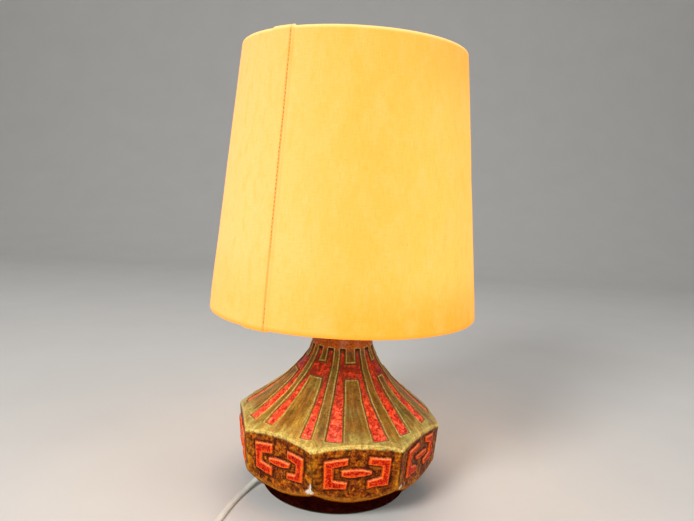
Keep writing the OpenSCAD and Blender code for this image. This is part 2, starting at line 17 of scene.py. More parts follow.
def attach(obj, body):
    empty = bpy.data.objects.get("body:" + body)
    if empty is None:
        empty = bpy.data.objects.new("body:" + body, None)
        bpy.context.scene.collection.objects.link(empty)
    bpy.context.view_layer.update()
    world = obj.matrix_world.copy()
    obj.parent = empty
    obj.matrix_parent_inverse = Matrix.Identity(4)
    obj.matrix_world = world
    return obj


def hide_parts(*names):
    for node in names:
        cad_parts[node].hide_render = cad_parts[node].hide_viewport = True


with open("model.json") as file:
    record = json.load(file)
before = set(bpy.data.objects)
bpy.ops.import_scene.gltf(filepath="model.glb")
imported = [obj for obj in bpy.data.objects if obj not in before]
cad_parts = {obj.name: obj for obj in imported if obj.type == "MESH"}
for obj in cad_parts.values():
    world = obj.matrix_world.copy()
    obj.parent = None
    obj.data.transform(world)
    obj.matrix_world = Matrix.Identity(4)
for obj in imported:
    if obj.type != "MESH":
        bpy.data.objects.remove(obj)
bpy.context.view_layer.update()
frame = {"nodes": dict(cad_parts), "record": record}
scene = bpy.context.scene
MM = 0.001
D2R = math.pi / 180.0

# Base: the flat sides lean out by SIDE_LEAN between their foot and the rim
RIM_Z = 70.0
SIDE_FOOT_Z = 32.4
SIDE_LEAN = 2.7
CORNER_RADIUS = 100.5
HALF_SIDE = 22.5  # degrees from the middle of a flat side to its corner
APOTHEM = CORNER_RADIUS * math.cos(HALF_SIDE * D2R)
SIDE_SLOPE = SIDE_LEAN / (RIM_Z - SIDE_FOOT_Z)

# Shade
SHADE_Z = 175.0
SHADE_HEIGHT = 242.0
SHADE_TOP_Z = SHADE_Z + SHADE_HEIGHT
SHADE_LOW_RADIUS = 126.5
SHADE_TOP_RADIUS = 103.5
SHADE_SLOPE = (SHADE_LOW_RADIUS - SHADE_TOP_RADIUS) / SHADE_HEIGHT
LOW_WIRE_Z = SHADE_Z + 1.8
TOP_WIRE_Z = SHADE_TOP_Z - 1.8
SEAM = -43.2  # bearing of the stitched line

# Bulb and cord
HOLDER_Z = 164.3
BULB_Z = HOLDER_Z + 23.8  # origin of the bulb's outline
CORD_Z = 6.6  # cord's height in the tunnel through the foot
PLUG_Z = 6.85


# ------------------------------------------------------------------ curves and fields
def rgb(*levels):
    """8-bit display colour to linear, with alpha 1."""
    def linear(c):
        c = c / 255.0
        return c / 12.92 if c <= 0.04045 else ((c + 0.055) / 1.055) ** 2.4
    return (*map(linear, levels), 1.0)


def spline(points, steps):
    """Catmull-Rom curve through the points, with `steps` steps to each span."""
    points = np.array(points, float)
    last = len(points) - 1
    curve = []
    for i in range(last):
        before, start, end = points[max(i - 1, 0)], points[i], points[i + 1]
        after = points[min(i + 2, last)]
        for t in np.arange(steps) / steps:
            curve.append(0.5 * (2 * start + (end - before) * t
                                + (2 * before - 5 * start + 4 * end - after) * t * t
                                + (3 * start - before - 3 * end + after) * t ** 3))
    return np.array(curve + [points[-1]])


def arc_length(profile):
    return np.concatenate([[0], np.cumsum(np.linalg.norm(np.diff(profile, axis=0), axis=1))])


def unit(vectors):
    return vectors / np.maximum(np.linalg.norm(vectors, axis=-1, keepdims=True), 1e-9)


def smooth(x, low, high):
    """Smooth step from 0 at `low` to 1 at `high`."""
    t = np.clip((x - low) / (high - low), 0, 1)
    return t * t * (3 - 2 * t)


def hump(x, centre, width):
    return np.exp(-((x - centre) / width) ** 2)


def blur(values):
    """One smoothing pass round the last axis."""
    return 0.25 * np.roll(values, 1, -1) + 0.5 * values + 0.25 * np.roll(values, -1, -1)


def waves(points, size, seed, count=28):
    """Smooth random field of the points, about -1..1, with features about `size` long."""
    rng = np.random.default_rng(seed)
    total = np.zeros(points.shape[:-1])
    for _ in range(count):
        k = rng.normal(size=3)
        k = k / np.linalg.norm(k) * (2 * math.pi / size) * rng.uniform(0.55, 1.5)
        total += np.sin(points @ k + rng.uniform(0, 2 * math.pi))
    return total / math.sqrt(count / 2.0) * 0.6


def polygon_distance(points, polygon):
    """Signed distance, inside negative, from the points (n, 2) to a simple polygon."""
    polygon = np.array(polygon, float)
    distance = np.full(len(points), 1e9)
    inside = np.zeros(len(points), bool)
    for k in range(len(polygon)):
        start, end = polygon[k - 1], polygon[k]
        edge = end - start
        offset = points - start
        t = np.clip((offset @ edge) / (edge @ edge), 0, 1)
        distance = np.minimum(distance, np.linalg.norm(offset - t[:, None] * edge, axis=1))
        crosses = (start[1] > points[:, 1]) != (end[1] > points[:, 1])
        with np.errstate(divide="ignore", invalid="ignore"):
            hit = edge[0] * (points[:, 1] - start[1]) / edge[1] + start[0]
        inside ^= crosses & (points[:, 0] < hit)
    return np.where(inside, -distance, distance)


def round_box(dx, dy, radius):
    """Signed distance to a box with rounded corners, from the distances to its sides."""
    qx, qy = dx + radius, dy + radius
    outside = np.hypot(np.maximum(qx, 0), np.maximum(qy, 0))
    return np.minimum(np.maximum(qx, qy), 0) + outside - radius


# ------------------------------------------------------------------ meshes
def around(radius, angle, z):
    """Points at an angle from -Y towards +X, in radians."""
    return np.stack([radius * np.sin(angle), -radius * np.cos(angle), z], -1)


def lathe(profile, segments):
    """Points of an (r, z) profile turned round Z, as rows of rings."""
    angle = np.arange(segments) * 2 * math.pi / segments
    radius = profile[:, :1]
    z = np.repeat(profile[:, 1:], segments, 1)
    return np.stack([radius * np.cos(angle), radius * np.sin(angle), z], -1)


def grid_faces(rows, cols, wrap_rows=True, wrap_cols=True):
    row = np.arange(rows if wrap_rows else rows - 1)
    col = np.arange(cols if wrap_cols else cols - 1)
    row, col = np.meshgrid(row, col, indexing="ij")
    next_row, next_col = (row + 1) % rows, (col + 1) % cols
    corners = [(row, col), (row, next_col), (next_row, next_col), (next_row, col)]
    return np.stack([i * cols + j for i, j in corners], -1).reshape(-1, 4)


def tube_faces(rows, cols, last_reversed=False):
    """Rows of rings joined into a tube, with a cap on its first and last ring."""
    first, last = range(cols), range((rows - 1) * cols, rows * cols)
    caps = [first, last[::-1]] if last_reversed else [first[::-1], last]
    return [*grid_faces(rows, cols, wrap_rows=False), *caps]


def face_out(mesh):
    """Flips the faces of a closed mesh if they enclose a negative volume."""
    points = np.empty(len(mesh.vertices) * 3)
    mesh.vertices.foreach_get("co", points)
    mesh.calc_loop_triangles()
    corners = np.empty(len(mesh.loop_triangles) * 3, dtype=np.int32)
    mesh.loop_triangles.foreach_get("vertices", corners)
    first, second, third = points.reshape(-1, 3)[corners.reshape(-1, 3)].transpose(1, 0, 2)
    if np.einsum("ij,ij->i", first, np.cross(second, third)).sum() < 0:
        mesh.flip_normals()


def mesh_object(name, verts, faces, material=None, shade_smooth=True, outward=True):
    mesh = bpy.data.meshes.new(name)
    verts = np.asarray(verts, dtype=np.float32)
    mesh.vertices.add(verts.size // 3)
    mesh.vertices.foreach_set("co", verts.ravel())
    sizes = np.array([len(face) for face in faces])
    mesh.loops.add(int(sizes.sum()))
    corners = np.array([i for face in faces for i in face], dtype=np.int32)
    mesh.loops.foreach_set("vertex_index", corners)
    mesh.polygons.add(len(faces))
    mesh.polygons.foreach_set("loop_start", (np.cumsum(sizes) - sizes).astype(np.int32))
    mesh.update(calc_edges=True)
    mesh.validate()
    if shade_smooth:
        mesh.polygons.foreach_set("use_smooth", np.ones(len(mesh.polygons), dtype=bool))
    if outward:
        face_out(mesh)
    if material:
        mesh.materials.append(material)
    ob = bpy.data.objects.new(name, mesh)
    scene.collection.objects.link(ob)
    return ob


def point_attribute(ob, name, *channels):
    """Stores four channels per vertex as a colour, or three as a vector."""
    kind, field = ("FLOAT_COLOR", "color") if len(channels) == 4 else ("FLOAT_VECTOR", "vector")
    values = np.stack(np.broadcast_arrays(*channels), -1).astype(np.float32)
    ob.data.attributes.new(name, kind, "POINT").data.foreach_set(field, values.ravel())


replaced_nodes = set()


def register(ob, part, slot, *replaced):
    """Tells the frame which part the object rides on and what it replaces; `slot` is not used."""
    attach(ob, part)
    if replaced:
        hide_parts(*replaced)
        replaced_nodes.update(replaced)


# ------------------------------------------------------------------ node materials
SURFACE_INPUTS = {
    "color": "Base Color", "rough": "Roughness", "metal": "Metallic", "normal": "Normal",
    "coat": "Coat Weight", "coat_rough": "Coat Roughness", "sheen": "Sheen Weight",
    "sheen_rough": "Sheen Roughness", "alpha": "Alpha", "emit": "Emission Color",
    "emit_strength": "Emission Strength", "subsurface": "Subsurface Weight",
    "specular": "Specular IOR Level"}


class Wire:
    """A node's output. Arithmetic on it adds Math nodes to its material."""

    def __init__(self, mat, socket):
        self.mat = mat
        self.socket = socket

    def __add__(self, other):
        return self.mat.math("ADD", self, other)

    def __radd__(self, other):
        return self.mat.math("ADD", other, self)

    def __sub__(self, other):
        return self.mat.math("SUBTRACT", self, other)

    def __rsub__(self, other):
        return self.mat.math("SUBTRACT", other, self)

    def __mul__(self, other):
        return self.mat.math("MULTIPLY", self, other)

    def __rmul__(self, other):
        return self.mat.math("MULTIPLY", other, self)

    def max(self, other):
        return self.mat.math("MAXIMUM", self, other)

    def out(self, key):
        """Another output of the same node."""
        return Wire(self.mat, self.socket.node.outputs[key])

    def fit(self, low, high, to=(0, 1), kind="LINEAR"):
        """Maps low..high onto the range `to`, clamped."""
        inputs = {"Value": self, "From Min": low, "From Max": high, "To Min": to[0], "To Max": to[1]}
        return self.mat.node("ShaderNodeMapRange", "Result", inputs, interpolation_type=kind)

    def ease(self, low, high, to=(0, 1)):
        """Like fit, with a smooth start and end."""
        return self.fit(low, high, to, "SMOOTHSTEP")


class Mat:
    """A node material; `place` is the object coordinate."""

    def __init__(self, name):
        self.material = bpy.data.materials.new(name)
        self.material.use_nodes = True
        self.tree = self.material.node_tree
        self.tree.nodes.clear()
        self.place = self.node("ShaderNodeTexCoord", "Object")

    def node(self, kind, output=0, inputs=None, **settings):
        node = self.tree.nodes.new(kind)
        for key, value in settings.items():
            setattr(node, key, value)
        for key, value in (inputs or {}).items():
            self.put(node.inputs[key], value)
        return Wire(self, node.outputs[output])

    def put(self, socket, value):
        if isinstance(value, Wire):
            self.tree.links.new(value.socket, socket)
            return
        if socket.type == "RGBA":
            if isinstance(value, (int, float)):
                value = (value,) * 3
            value = (*value[:3], 1)
        socket.default_value = value

    def math(self, operation, *values):
        return self.node("ShaderNodeMath", 0, dict(enumerate(values)), operation=operation)

    def axis(self, vector, index):
        return self.node("ShaderNodeSeparateXYZ", index, {0: vector})

    def vector(self, name):
        return self.node("ShaderNodeAttribute", "Vector", attribute_name=name)

    def channels(self, name):
        """The four channels of a colour attribute."""
        color = self.node("ShaderNodeAttribute", "Color", attribute_name=name)
        red = self.node("ShaderNodeSeparateColor", 0, {0: color})
        return red, red.out(1), red.out(2), color.out("Alpha")

    def coords(self, at, stretch, turn, shift):
        at = at or self.place
        if stretch is None:
            return at
        inputs = {"Vector": at, "Scale": stretch, "Rotation": turn, "Location": shift}
        return self.node("ShaderNodeMapping", 0, inputs)

    def noise(self, scale, detail=3.0, rough=0.5, warp=0.0, at=None, stretch=None,
              turn=(0, 0, 0), shift=(0, 0, 0)):
        inputs = {"Vector": self.coords(at, stretch, turn, shift), "Scale": scale,
                  "Detail": detail, "Roughness": rough, "Distortion": warp}
        return self.node("ShaderNodeTexNoise", "Fac", inputs)

    def cells(self, scale, stretch, feature="F1", at=None):
        inputs = {"Vector": self.coords(at, stretch, (0, 0, 0), (0, 0, 0)), "Scale": scale}
        return self.node("ShaderNodeTexVoronoi", "Distance", inputs, feature=feature)

    def mix(self, amount, under, over, mode="MIX"):
        return self.node("ShaderNodeMix", 2, {0: amount, 6: under, 7: over}, data_type="RGBA",
                         blend_type=mode, clamp_factor=True)

    def multiply(self, color, by):
        return self.mix(1.0, color, by, "MULTIPLY")

    def layers(self, color, *layers):
        """Lays each (amount, colour) over the ones before it."""
        for amount, over in layers:
            color = self.mix(amount, color, over)
        return color

    def ramp(self, value, stops, linear=False):
        """Colour ramp of {position: colour}, in 8-bit display levels unless `linear`."""
        node = self.tree.nodes.new("ShaderNodeValToRGB")
        elements = node.color_ramp.elements
        while len(elements) < len(stops):
            elements.new(0.5)
        for k, (position, color) in enumerate(stops.items()):
            elements[k].position = position
            elements[k].color = (*color, 1) if linear else rgb(*color)
        self.put(node.inputs[0], value)
        return Wire(self, node.outputs["Color"])

    def bump(self, height, strength, distance):
        inputs = {"Strength": strength, "Distance": distance, "Height": height}
        return self.node("ShaderNodeBump", 0, inputs)

    def surface(self, **inputs):
        """Ends the material with a Principled shader and returns it."""
        inputs = {SURFACE_INPUTS[key]: value for key, value in inputs.items()}
        shader = self.node("ShaderNodeBsdfPrincipled", 0, inputs)
        output = self.tree.nodes.new("ShaderNodeOutputMaterial")
        self.put(output.inputs["Surface"], shader)
        return self.material


def plastic(name, color, rough=0.38, dark=None, vary=0.06, grain=2600.0):
    """Moulded plastic: faint flow clouds, fine grain, uneven gloss."""
    mat = Mat(name)
    cloud = mat.noise(scale=60)
    fine = mat.noise(scale=grain, detail=2)
    dark = dark or tuple(x * 0.78 for x in color[:3])
    return mat.surface(
        color=mat.mix(cloud.fit(0.35, 0.7), color, mat.mix(0.5, color, dark)),
        rough=(rough - vary) + mat.noise(scale=240, detail=4) * (vary * 2),
        normal=mat.bump(fine, strength=0.5, distance=0.00004), specular=0.5)


def metal(name, color, tarnish, rough, brush, amount):
    """Brushed metal: lines stretched by `brush`, and soft tarnish up to `amount`."""
    mat = Mat(name)
    lines = mat.noise(scale=900, rough=0.6, stretch=brush)
    stain = mat.noise(scale=130, detail=5, rough=0.6).ease(0.42, 0.68, to=(0, amount))
    return mat.surface(
        color=mat.mix(stain, color, tarnish), metal=1.0,
        rough=rough + stain * 0.35 + (lines - 0.5) * 0.16,
        normal=mat.bump(lines, strength=0.25, distance=0.00003))


# ------------------------------------------------------------------ the glazed base: tables
# Outlines as (radius, z): shoulder from the neck out past the rim, bowl from the sides to the foot
SHOULDER = [
    [27.6, 156.8], [28.3, 149.5], [29.7, 141.6], [33.6, 131.6], [42.6, 118.7], [55.7, 104.5],
    [70.9, 91.8], [85.5, 81.5], [93.4, 76.2], [100.5, 71.4], [108, 62.8]]
BOWL = [[108, 46], [98, 33.4], [90, 24.4], [82, 17], [74.6, 11.2], [71.6, 8.4]]
FOOT_RING = [[71.45, 6.6], [71.3, 4.8], [71, 3], [70.5, 2.1], [69.8, 1.7], [69, 1.6], [66, 1.6],
             [64, 1.6]]
CAVITY = [
    [63, 1.6], [63, 8.4], [66, 12], [72, 16.6], [78, 22.4], [82, 30], [83.4, 40], [83.4, 60],
    [82, 67], [76, 73], [69, 79.3], [62, 85.6], [55, 92.2], [48, 99.6], [41, 108], [34, 118],
    [28, 128], [22.5, 137], [20, 143], [20, 157.2], [20.6, 158], [26.8, 158]]
NECK_LIP = [[27.4, 157.5]]

# How far the rim hangs, and how far the corners are turned (degrees), by bearing
SAG = ([-203, -135, -90, -67.5, -45, -22.5, 0, 22.5, 45, 67.5, 100, 158],
       [1.2, 1.0, 0.8, 0.7, 0.9, 1.1, 2.2, 3.1, 3.8, 3.0, 1.8, 1.2])
SKEW = ([-203, -100, -67.5, -45, -22.5, 0, 22.5, 158], [0, 0, -0.8, -0.8, -2.6, -0.8, 0, 0])

# Recessed figures of the shoulder, by side counted from the front towards +X. Degrees from the
# side's middle at the radii EDGE_R: left stripe's outer and inner edge, right stripe's inner and
# outer edge; then the radius where each stripe ends.
EDGE_R = [28, 33, 38, 45, 52, 60, 75, 91]
EDGE_MEAN = (
    [-16.0, -16.4, -17.0, -17.6, -17.8, -17.9, -18.1, -18.3],
    [-6.4, -6.6, -7.0, -7.6, -7.9, -8.1, -8.4, -8.8],
    [9.6, 9.2, 8.8, 8.4, 8.1, 7.8, 7.9, 8.0],
    [19.6, 19.0, 18.2, 17.6, 17.3, 17.2, 17.5, 17.9], 90.6, 90.2)
EDGES = {
    0: ([-17.0, -16.8, -17.4, -18.4, -18.7, -19.0, -19.4, -19.6],
        [-7.2, -7.1, -7.4, -7.7, -7.9, -8.1, -8.9, -9.3],
        [10.6, 9.8, 9.1, 8.5, 8.1, 7.4, 7.3, 7.2],
        [20.8, 19.8, 18.1, 17.5, 16.7, 16.6, 16.9, 17.8], 91.1, 91.0),
    -1: ([-14.7, -15.8, -16.2, -16.0, -16.6, -16.6, -17.0, -16.2],
         [-5.2, -5.2, -6.7, -8.8, -8.2, -8.0, -8.4, -9.3],
         [5.7, 6.2, 8.0, 9.4, 10.2, 10.7, 11.2, 11.2],
         [17.0, 17.8, 17.9, 17.8, 17.9, 18.1, 18.2, 18.2], 88.0, 91.3),
    1: ([-12.2, -13.9, -16.4, -17.6, -18.8, -19.3, -18.9, -19.0],
        [-1.2, -2.2, -4.0, -5.8, -6.8, -7.6, -9.0, -10.0],
        [7.8, 7.3, 6.6, 5.6, 3.8, 2.8, 4.3, 5.8],
        [18.8, 18.8, 18.3, 16.8, 14.3, 13.3, 13.8, 15.3], 89.3, 88.0),
    -2: (*EDGE_MEAN[:2],
         [8.0, 8.2, 8.7, 9.4, 10.0, 10.6, 11.6, 12.4],
         [18.0, 18.5, 19.0, 20.0, 21.0, 21.4, 21.4, 21.0], 90.3, 90.3),
}

# Key pattern of each flat side: left bracket, bar, right bracket (across, up from KEY_Z)
KEY_Z = 48.8
KEYS = {
    0: ([[-31.6, 12.9], [-9.7, 15.5], [-9.9, 8.5], [-22.9, 6.2], [-22.6, -4.5], [-9.9, -6.7],
         [-10.7, -13.6], [-31.4, -12.6]],
        [[-15.9, 4], [-9.5, 4.9], [-3.0, 5.0], [4.5, 4.3], [12.4, 2.6], [12.3, -0.9],
         [4.5, -2.6], [-2.4, -3.2], [-9.5, -2.8], [-15.5, -1.5]],
        [[8.5, 15.8], [29.0, 13], [27.8, -11.8], [8.3, -13.9], [8.1, -6.5], [20.3, -3.4],
         [21.4, 5.5], [8.2, 8.4]]),
    -1: ([[-27.6, 14.9], [-6.7, 17.2], [-7.9, 7.9], [-19.7, 5.9], [-19.9, -1.8], [-8.0, -4.4],
          [-8.5, -14.1], [-27.2, -9.5]],
         [[-12.9, 3.6], [-6, 4.9], [0.2, 5.1], [6, 5.0], [11.8, 4.4], [10.7, -0.6], [5, -1.9],
          [-1.0, -2.3], [-6.5, -1.6], [-12.3, 0]],
         [[8.6, 15.9], [26.9, 13], [25.2, -10], [7.8, -11.3], [7.9, -5.2], [17.7, -3.6],
          [17.8, 5.2], [8.5, 7.6]]),
    1: ([[-25.6, 14.5], [-6.7, 17.4], [-6.3, 12.3], [-19.9, 8.9], [-18.2, -1.8], [-6.5, -4.6],
         [-4.8, -11.8], [-26.7, -11.7]],
        [[-10.3, 4.5], [-2, 5.4], [5, 5.7], [12.4, 5], [13.7, 0.6], [6, -0.6], [-1, -0.7],
         [-8.3, 0.3]],
        [[7.2, 18.1], [23.9, 16.7], [26.6, -2], [22.7, -8.3], [10.1, -10.9], [6.9, -4.5],
         [18.5, -0.5], [18.5, 8.5], [8.4, 11.3]]),
}
MEAN_BRACKET = [[8, 15.6], [30.2, 12.6], [30.2, -12], [8.2, -14.2], [8.2, -7.2], [20.4, -4.6],
                [20.4, 5.6], [8, 7.6]]
KEY_MEAN = (
    [[-x, y] for x, y in MEAN_BRACKET],
    [[-13.8, 3.6], [-7, 4.3], [0, 4.6], [7, 4.3], [13.8, 3.6], [13.8, -2], [7, -2.7], [0, -3],
     [-7, -2.7], [-13.8, -2]],
    MEAN_BRACKET)

# Chips at two lower corners: bearing, z, width, height, seed
CHIPS = ((-25.6, 32.6, 7.4, 5.4, 31), (-25.2, 36.6, 2.0, 8.5, 32), (25.0, 31.8, 4.8, 4.4, 33))
CHIP_RADIUS = 96.4

# Rows of the mesh: neck and shoulder, last stretch to the rim, flat sides, bowl
NECK_ROWS, RIM_ROWS, SIDE_ROWS, BOWL_ROWS = 200, 24, 76, 28
RIM_ROW = NECK_ROWS + RIM_ROWS
FOOT_ROW = RIM_ROW + SIDE_ROWS
EVEN_RADIUS = 88.0  # out to here, rows of the shoulder run level round the base


# ------------------------------------------------------------------ the glazed base: form
def base_columns():
    """Per column, degrees from the middle of its side, and bearing."""
    angles = np.linspace(0, HALF_SIDE, 4501)
    density = np.full_like(angles, 1 / 0.72)
    # closer where stripes and key strokes have their edges
    for low, high in ((4.0, 11.6), (15.6, HALF_SIDE)):
        density[(angles >= low) & (angles <= high)] = 1 / 0.33
    steps = (density[1:] + density[:-1]) / 2 * np.diff(angles)
    total = np.concatenate([[0], np.cumsum(steps)])
    count = int(round(total[-1]))
    half = np.interp(np.linspace(0, total[-1], count + 1), total, angles)
    sector = np.concatenate([-half[:0:-1], half[:-1]])
    local = np.tile(sector, 8)
    return local, np.concatenate([sector + 45 * k for k in range(-4, 4)])


def base_grid():
    """The base before its relief, as grids of rows (neck down, then inside) by columns."""
    local, column_bearing = base_columns()
    cos_local = np.cos(local * D2R)
    one = np.ones(len(local))
    top, low = spline(SHOULDER, 60), spline(BOWL, 60)
    top_arc, low_arc = arc_length(top), arc_length(low)

    def side_crossing(profile, arc):
        """Arc length at which each column's flat side meets the profile."""
        plane = APOTHEM + (profile[:, 1:] - RIM_Z) * SIDE_SLOPE
        gap = profile[:, :1] * cos_local - plane
        positive = gap > 0
        i = np.argmax(positive != positive[0], axis=0)
        j = np.arange(len(local))
        before, after = gap[i - 1, j], gap[i, j]
        return arc[i - 1] + before / (before - after) * (arc[i] - arc[i - 1])

    def between(start, end, steps, extra=0):
        return start + (end - start) * np.arange(steps + extra)[:, None] / steps

    rim_arc = side_crossing(top, top_arc)
    foot_arc = side_crossing(low, low_arc)
    even_arc = np.interp(EVEN_RADIUS, top[:, 0], top_arc)
    rim_z = np.interp(rim_arc, top_arc, top[:, 1])
    foot_z = np.interp(foot_arc, low_arc, low[:, 1])
    top_rows = np.vstack([between(0 * one, even_arc * one, NECK_ROWS),
                          between(even_arc, rim_arc, RIM_ROWS)])
    side_z = between(rim_z, foot_z, SIDE_ROWS)
    bowl_rows = between(foot_arc, low_arc[-1], BOWL_ROWS, extra=1)
    inner = np.vstack([FOOT_RING, spline(CAVITY, 2), NECK_LIP])
    radius = np.vstack([
        np.interp(top_rows, top_arc, top[:, 0]),
        (APOTHEM + (side_z - RIM_Z) * SIDE_SLOPE) / cos_local,
        np.interp(bowl_rows, low_arc, low[:, 0]),
        inner[:, :1] * one])
    z = np.vstack([
        np.interp(top_rows, top_arc, top[:, 1]),
        side_z,
        np.interp(bowl_rows, low_arc, low[:, 1]),
        inner[:, 1:] * one])
    counts = [RIM_ROW, SIDE_ROWS, BOWL_ROWS + 1, len(inner)]
    zone = np.repeat([0, 1, 2, 3], counts)[:, None] * one
    outer = zone <= 2

    # round off the rim, the sides' lower edge and the upright corners
    for row, spread, times in ((RIM_ROW, 11, 26), (FOOT_ROW, 5, 9)):
        start, end = row - spread, row + spread + 1
        for _ in range(times):
            for grid in (radius, z):
                grid[start:end] = (0.25 * grid[start - 1:end - 1] + 0.5 * grid[start:end]
                                   + 0.25 * grid[start + 1:end + 1])
    row = np.arange(len(radius))[:, None]
    near_corner = ((np.abs(np.abs(local) - HALF_SIDE) < 1.4)
                   & (row >= RIM_ROW - 10) & (row <= FOOT_ROW + 6))
    for _ in range(7):
        radius = np.where(near_corner, blur(radius), radius)

    # the rim is not quite level, nor are the corners quite evenly spaced
    level_z = z
    sag = np.interp(column_bearing, *SAG)
    for _ in range(60):
        sag = blur(sag)
    z = z - sag * hump(z, 73, np.where(z > 73, 13.0, 10.0)) * outer
    skew = np.interp(column_bearing, *SKEW)
    for _ in range(40):
        skew = blur(skew)
    bearing = column_bearing + skew * (0.45 + 0.55 * smooth(z, 34, 70)) * outer

    arc = np.zeros_like(radius)
    upper = slice(RIM_ROW + 1)
    arc[upper] = np.interp(level_z[upper], top[::-1, 1], top_arc[::-1])
    return SimpleNamespace(
        local=local, column_bearing=column_bearing, bearing=bearing, radius=radius, z=z,
        level_z=level_z, rim_z=rim_z, foot_z=foot_z, points=around(radius, bearing * D2R, z),
        arc=arc, arc_end=top_arc[-1], rim_arc=rim_arc,
        arc_at=lambda r: np.interp(r, top[:, 0], top_arc),
        outer=outer, shoulder=zone == 0, side=zone == 1, bowl=zone == 2, inside=zone >= 3)


def figure_distance(grid):
    """Signed distance to the recessed figures of the shoulder, inside negative."""
    radius = np.clip(grid.radius, 28, 100)
    mm_per_degree = D2R * radius
    arc, arc_at = grid.arc, grid.arc_at
    distance = np.full_like(radius, 99.0)
    for k in range(-4, 4):
        *edges, left_end, right_end = EDGES.get(k, EDGE_MEAN)
        angle = (grid.bearing - 45 * k + 180) % 360 - 180
        edges = [np.interp(radius, EDGE_R, edge) for edge in edges]

        def figure(left, right, top_radius, end_radius, corner):
            return round_box(np.maximum(left - angle, angle - right) * mm_per_degree,
                             np.maximum(arc_at(top_radius) - arc, arc - arc_at(end_radius)),
                             corner)
        distance = np.minimum.reduce([
            distance,
            figure(edges[0], edges[1], 29.5, left_end, 1.1),
            figure(edges[2], edges[3], 29.5, right_end, 1.1),
            figure(edges[0] + 2.5, edges[3] - 2.5, 34.6, 44.0, 0.3)])  # crossbar
    return distance + (waves(grid.points, 15.0, 3) * 0.13 + waves(grid.points, 5.0, 4) * 0.09)


def key_distance(grid):
    """Signed distance to the key patterns of the flat sides, inside negative."""
    points = grid.points
    distance = np.full_like(grid.radius, 9.0)
    turned = grid.local + grid.bearing - grid.column_bearing
    across = (APOTHEM * np.tan(turned * D2R)
              + waves(points, 16.0, 11) * 0.22 + waves(points, 5.0, 13) * 0.1)
    up = (grid.z - KEY_Z) + waves(points, 16.0, 12) * 0.22 + waves(points, 5.0, 14) * 0.1
    rows = slice(RIM_ROW, FOOT_ROW + 1)
    width = len(grid.local) // 8
    for i, k in enumerate(range(-4, 4)):
        part = rows, slice(i * width, (i + 1) * width)
        flat = np.stack([across[part].ravel(), up[part].ravel()], 1)
        shapes = [polygon_distance(flat, shape) for shape in KEYS.get(k, KEY_MEAN)]
        distance[part] = np.minimum.reduce(shapes).reshape(up[part].shape)
    return distance


def chip_mask(grid):
    mask = np.zeros_like(grid.radius)
    for bearing, z, width, height, seed in CHIPS:
        angle = (grid.bearing - bearing + 180) % 360 - 180
        across = angle * D2R * CHIP_RADIUS / (width / 2)
        up = (grid.z - z) / (height / 2)
        reach = np.sqrt(across ** 2 + up ** 2) + waves(grid.points, 3.2, seed) * 0.22
        mask = np.maximum(mask, 1 - smooth(reach, 0.8, 1.08))
    return mask


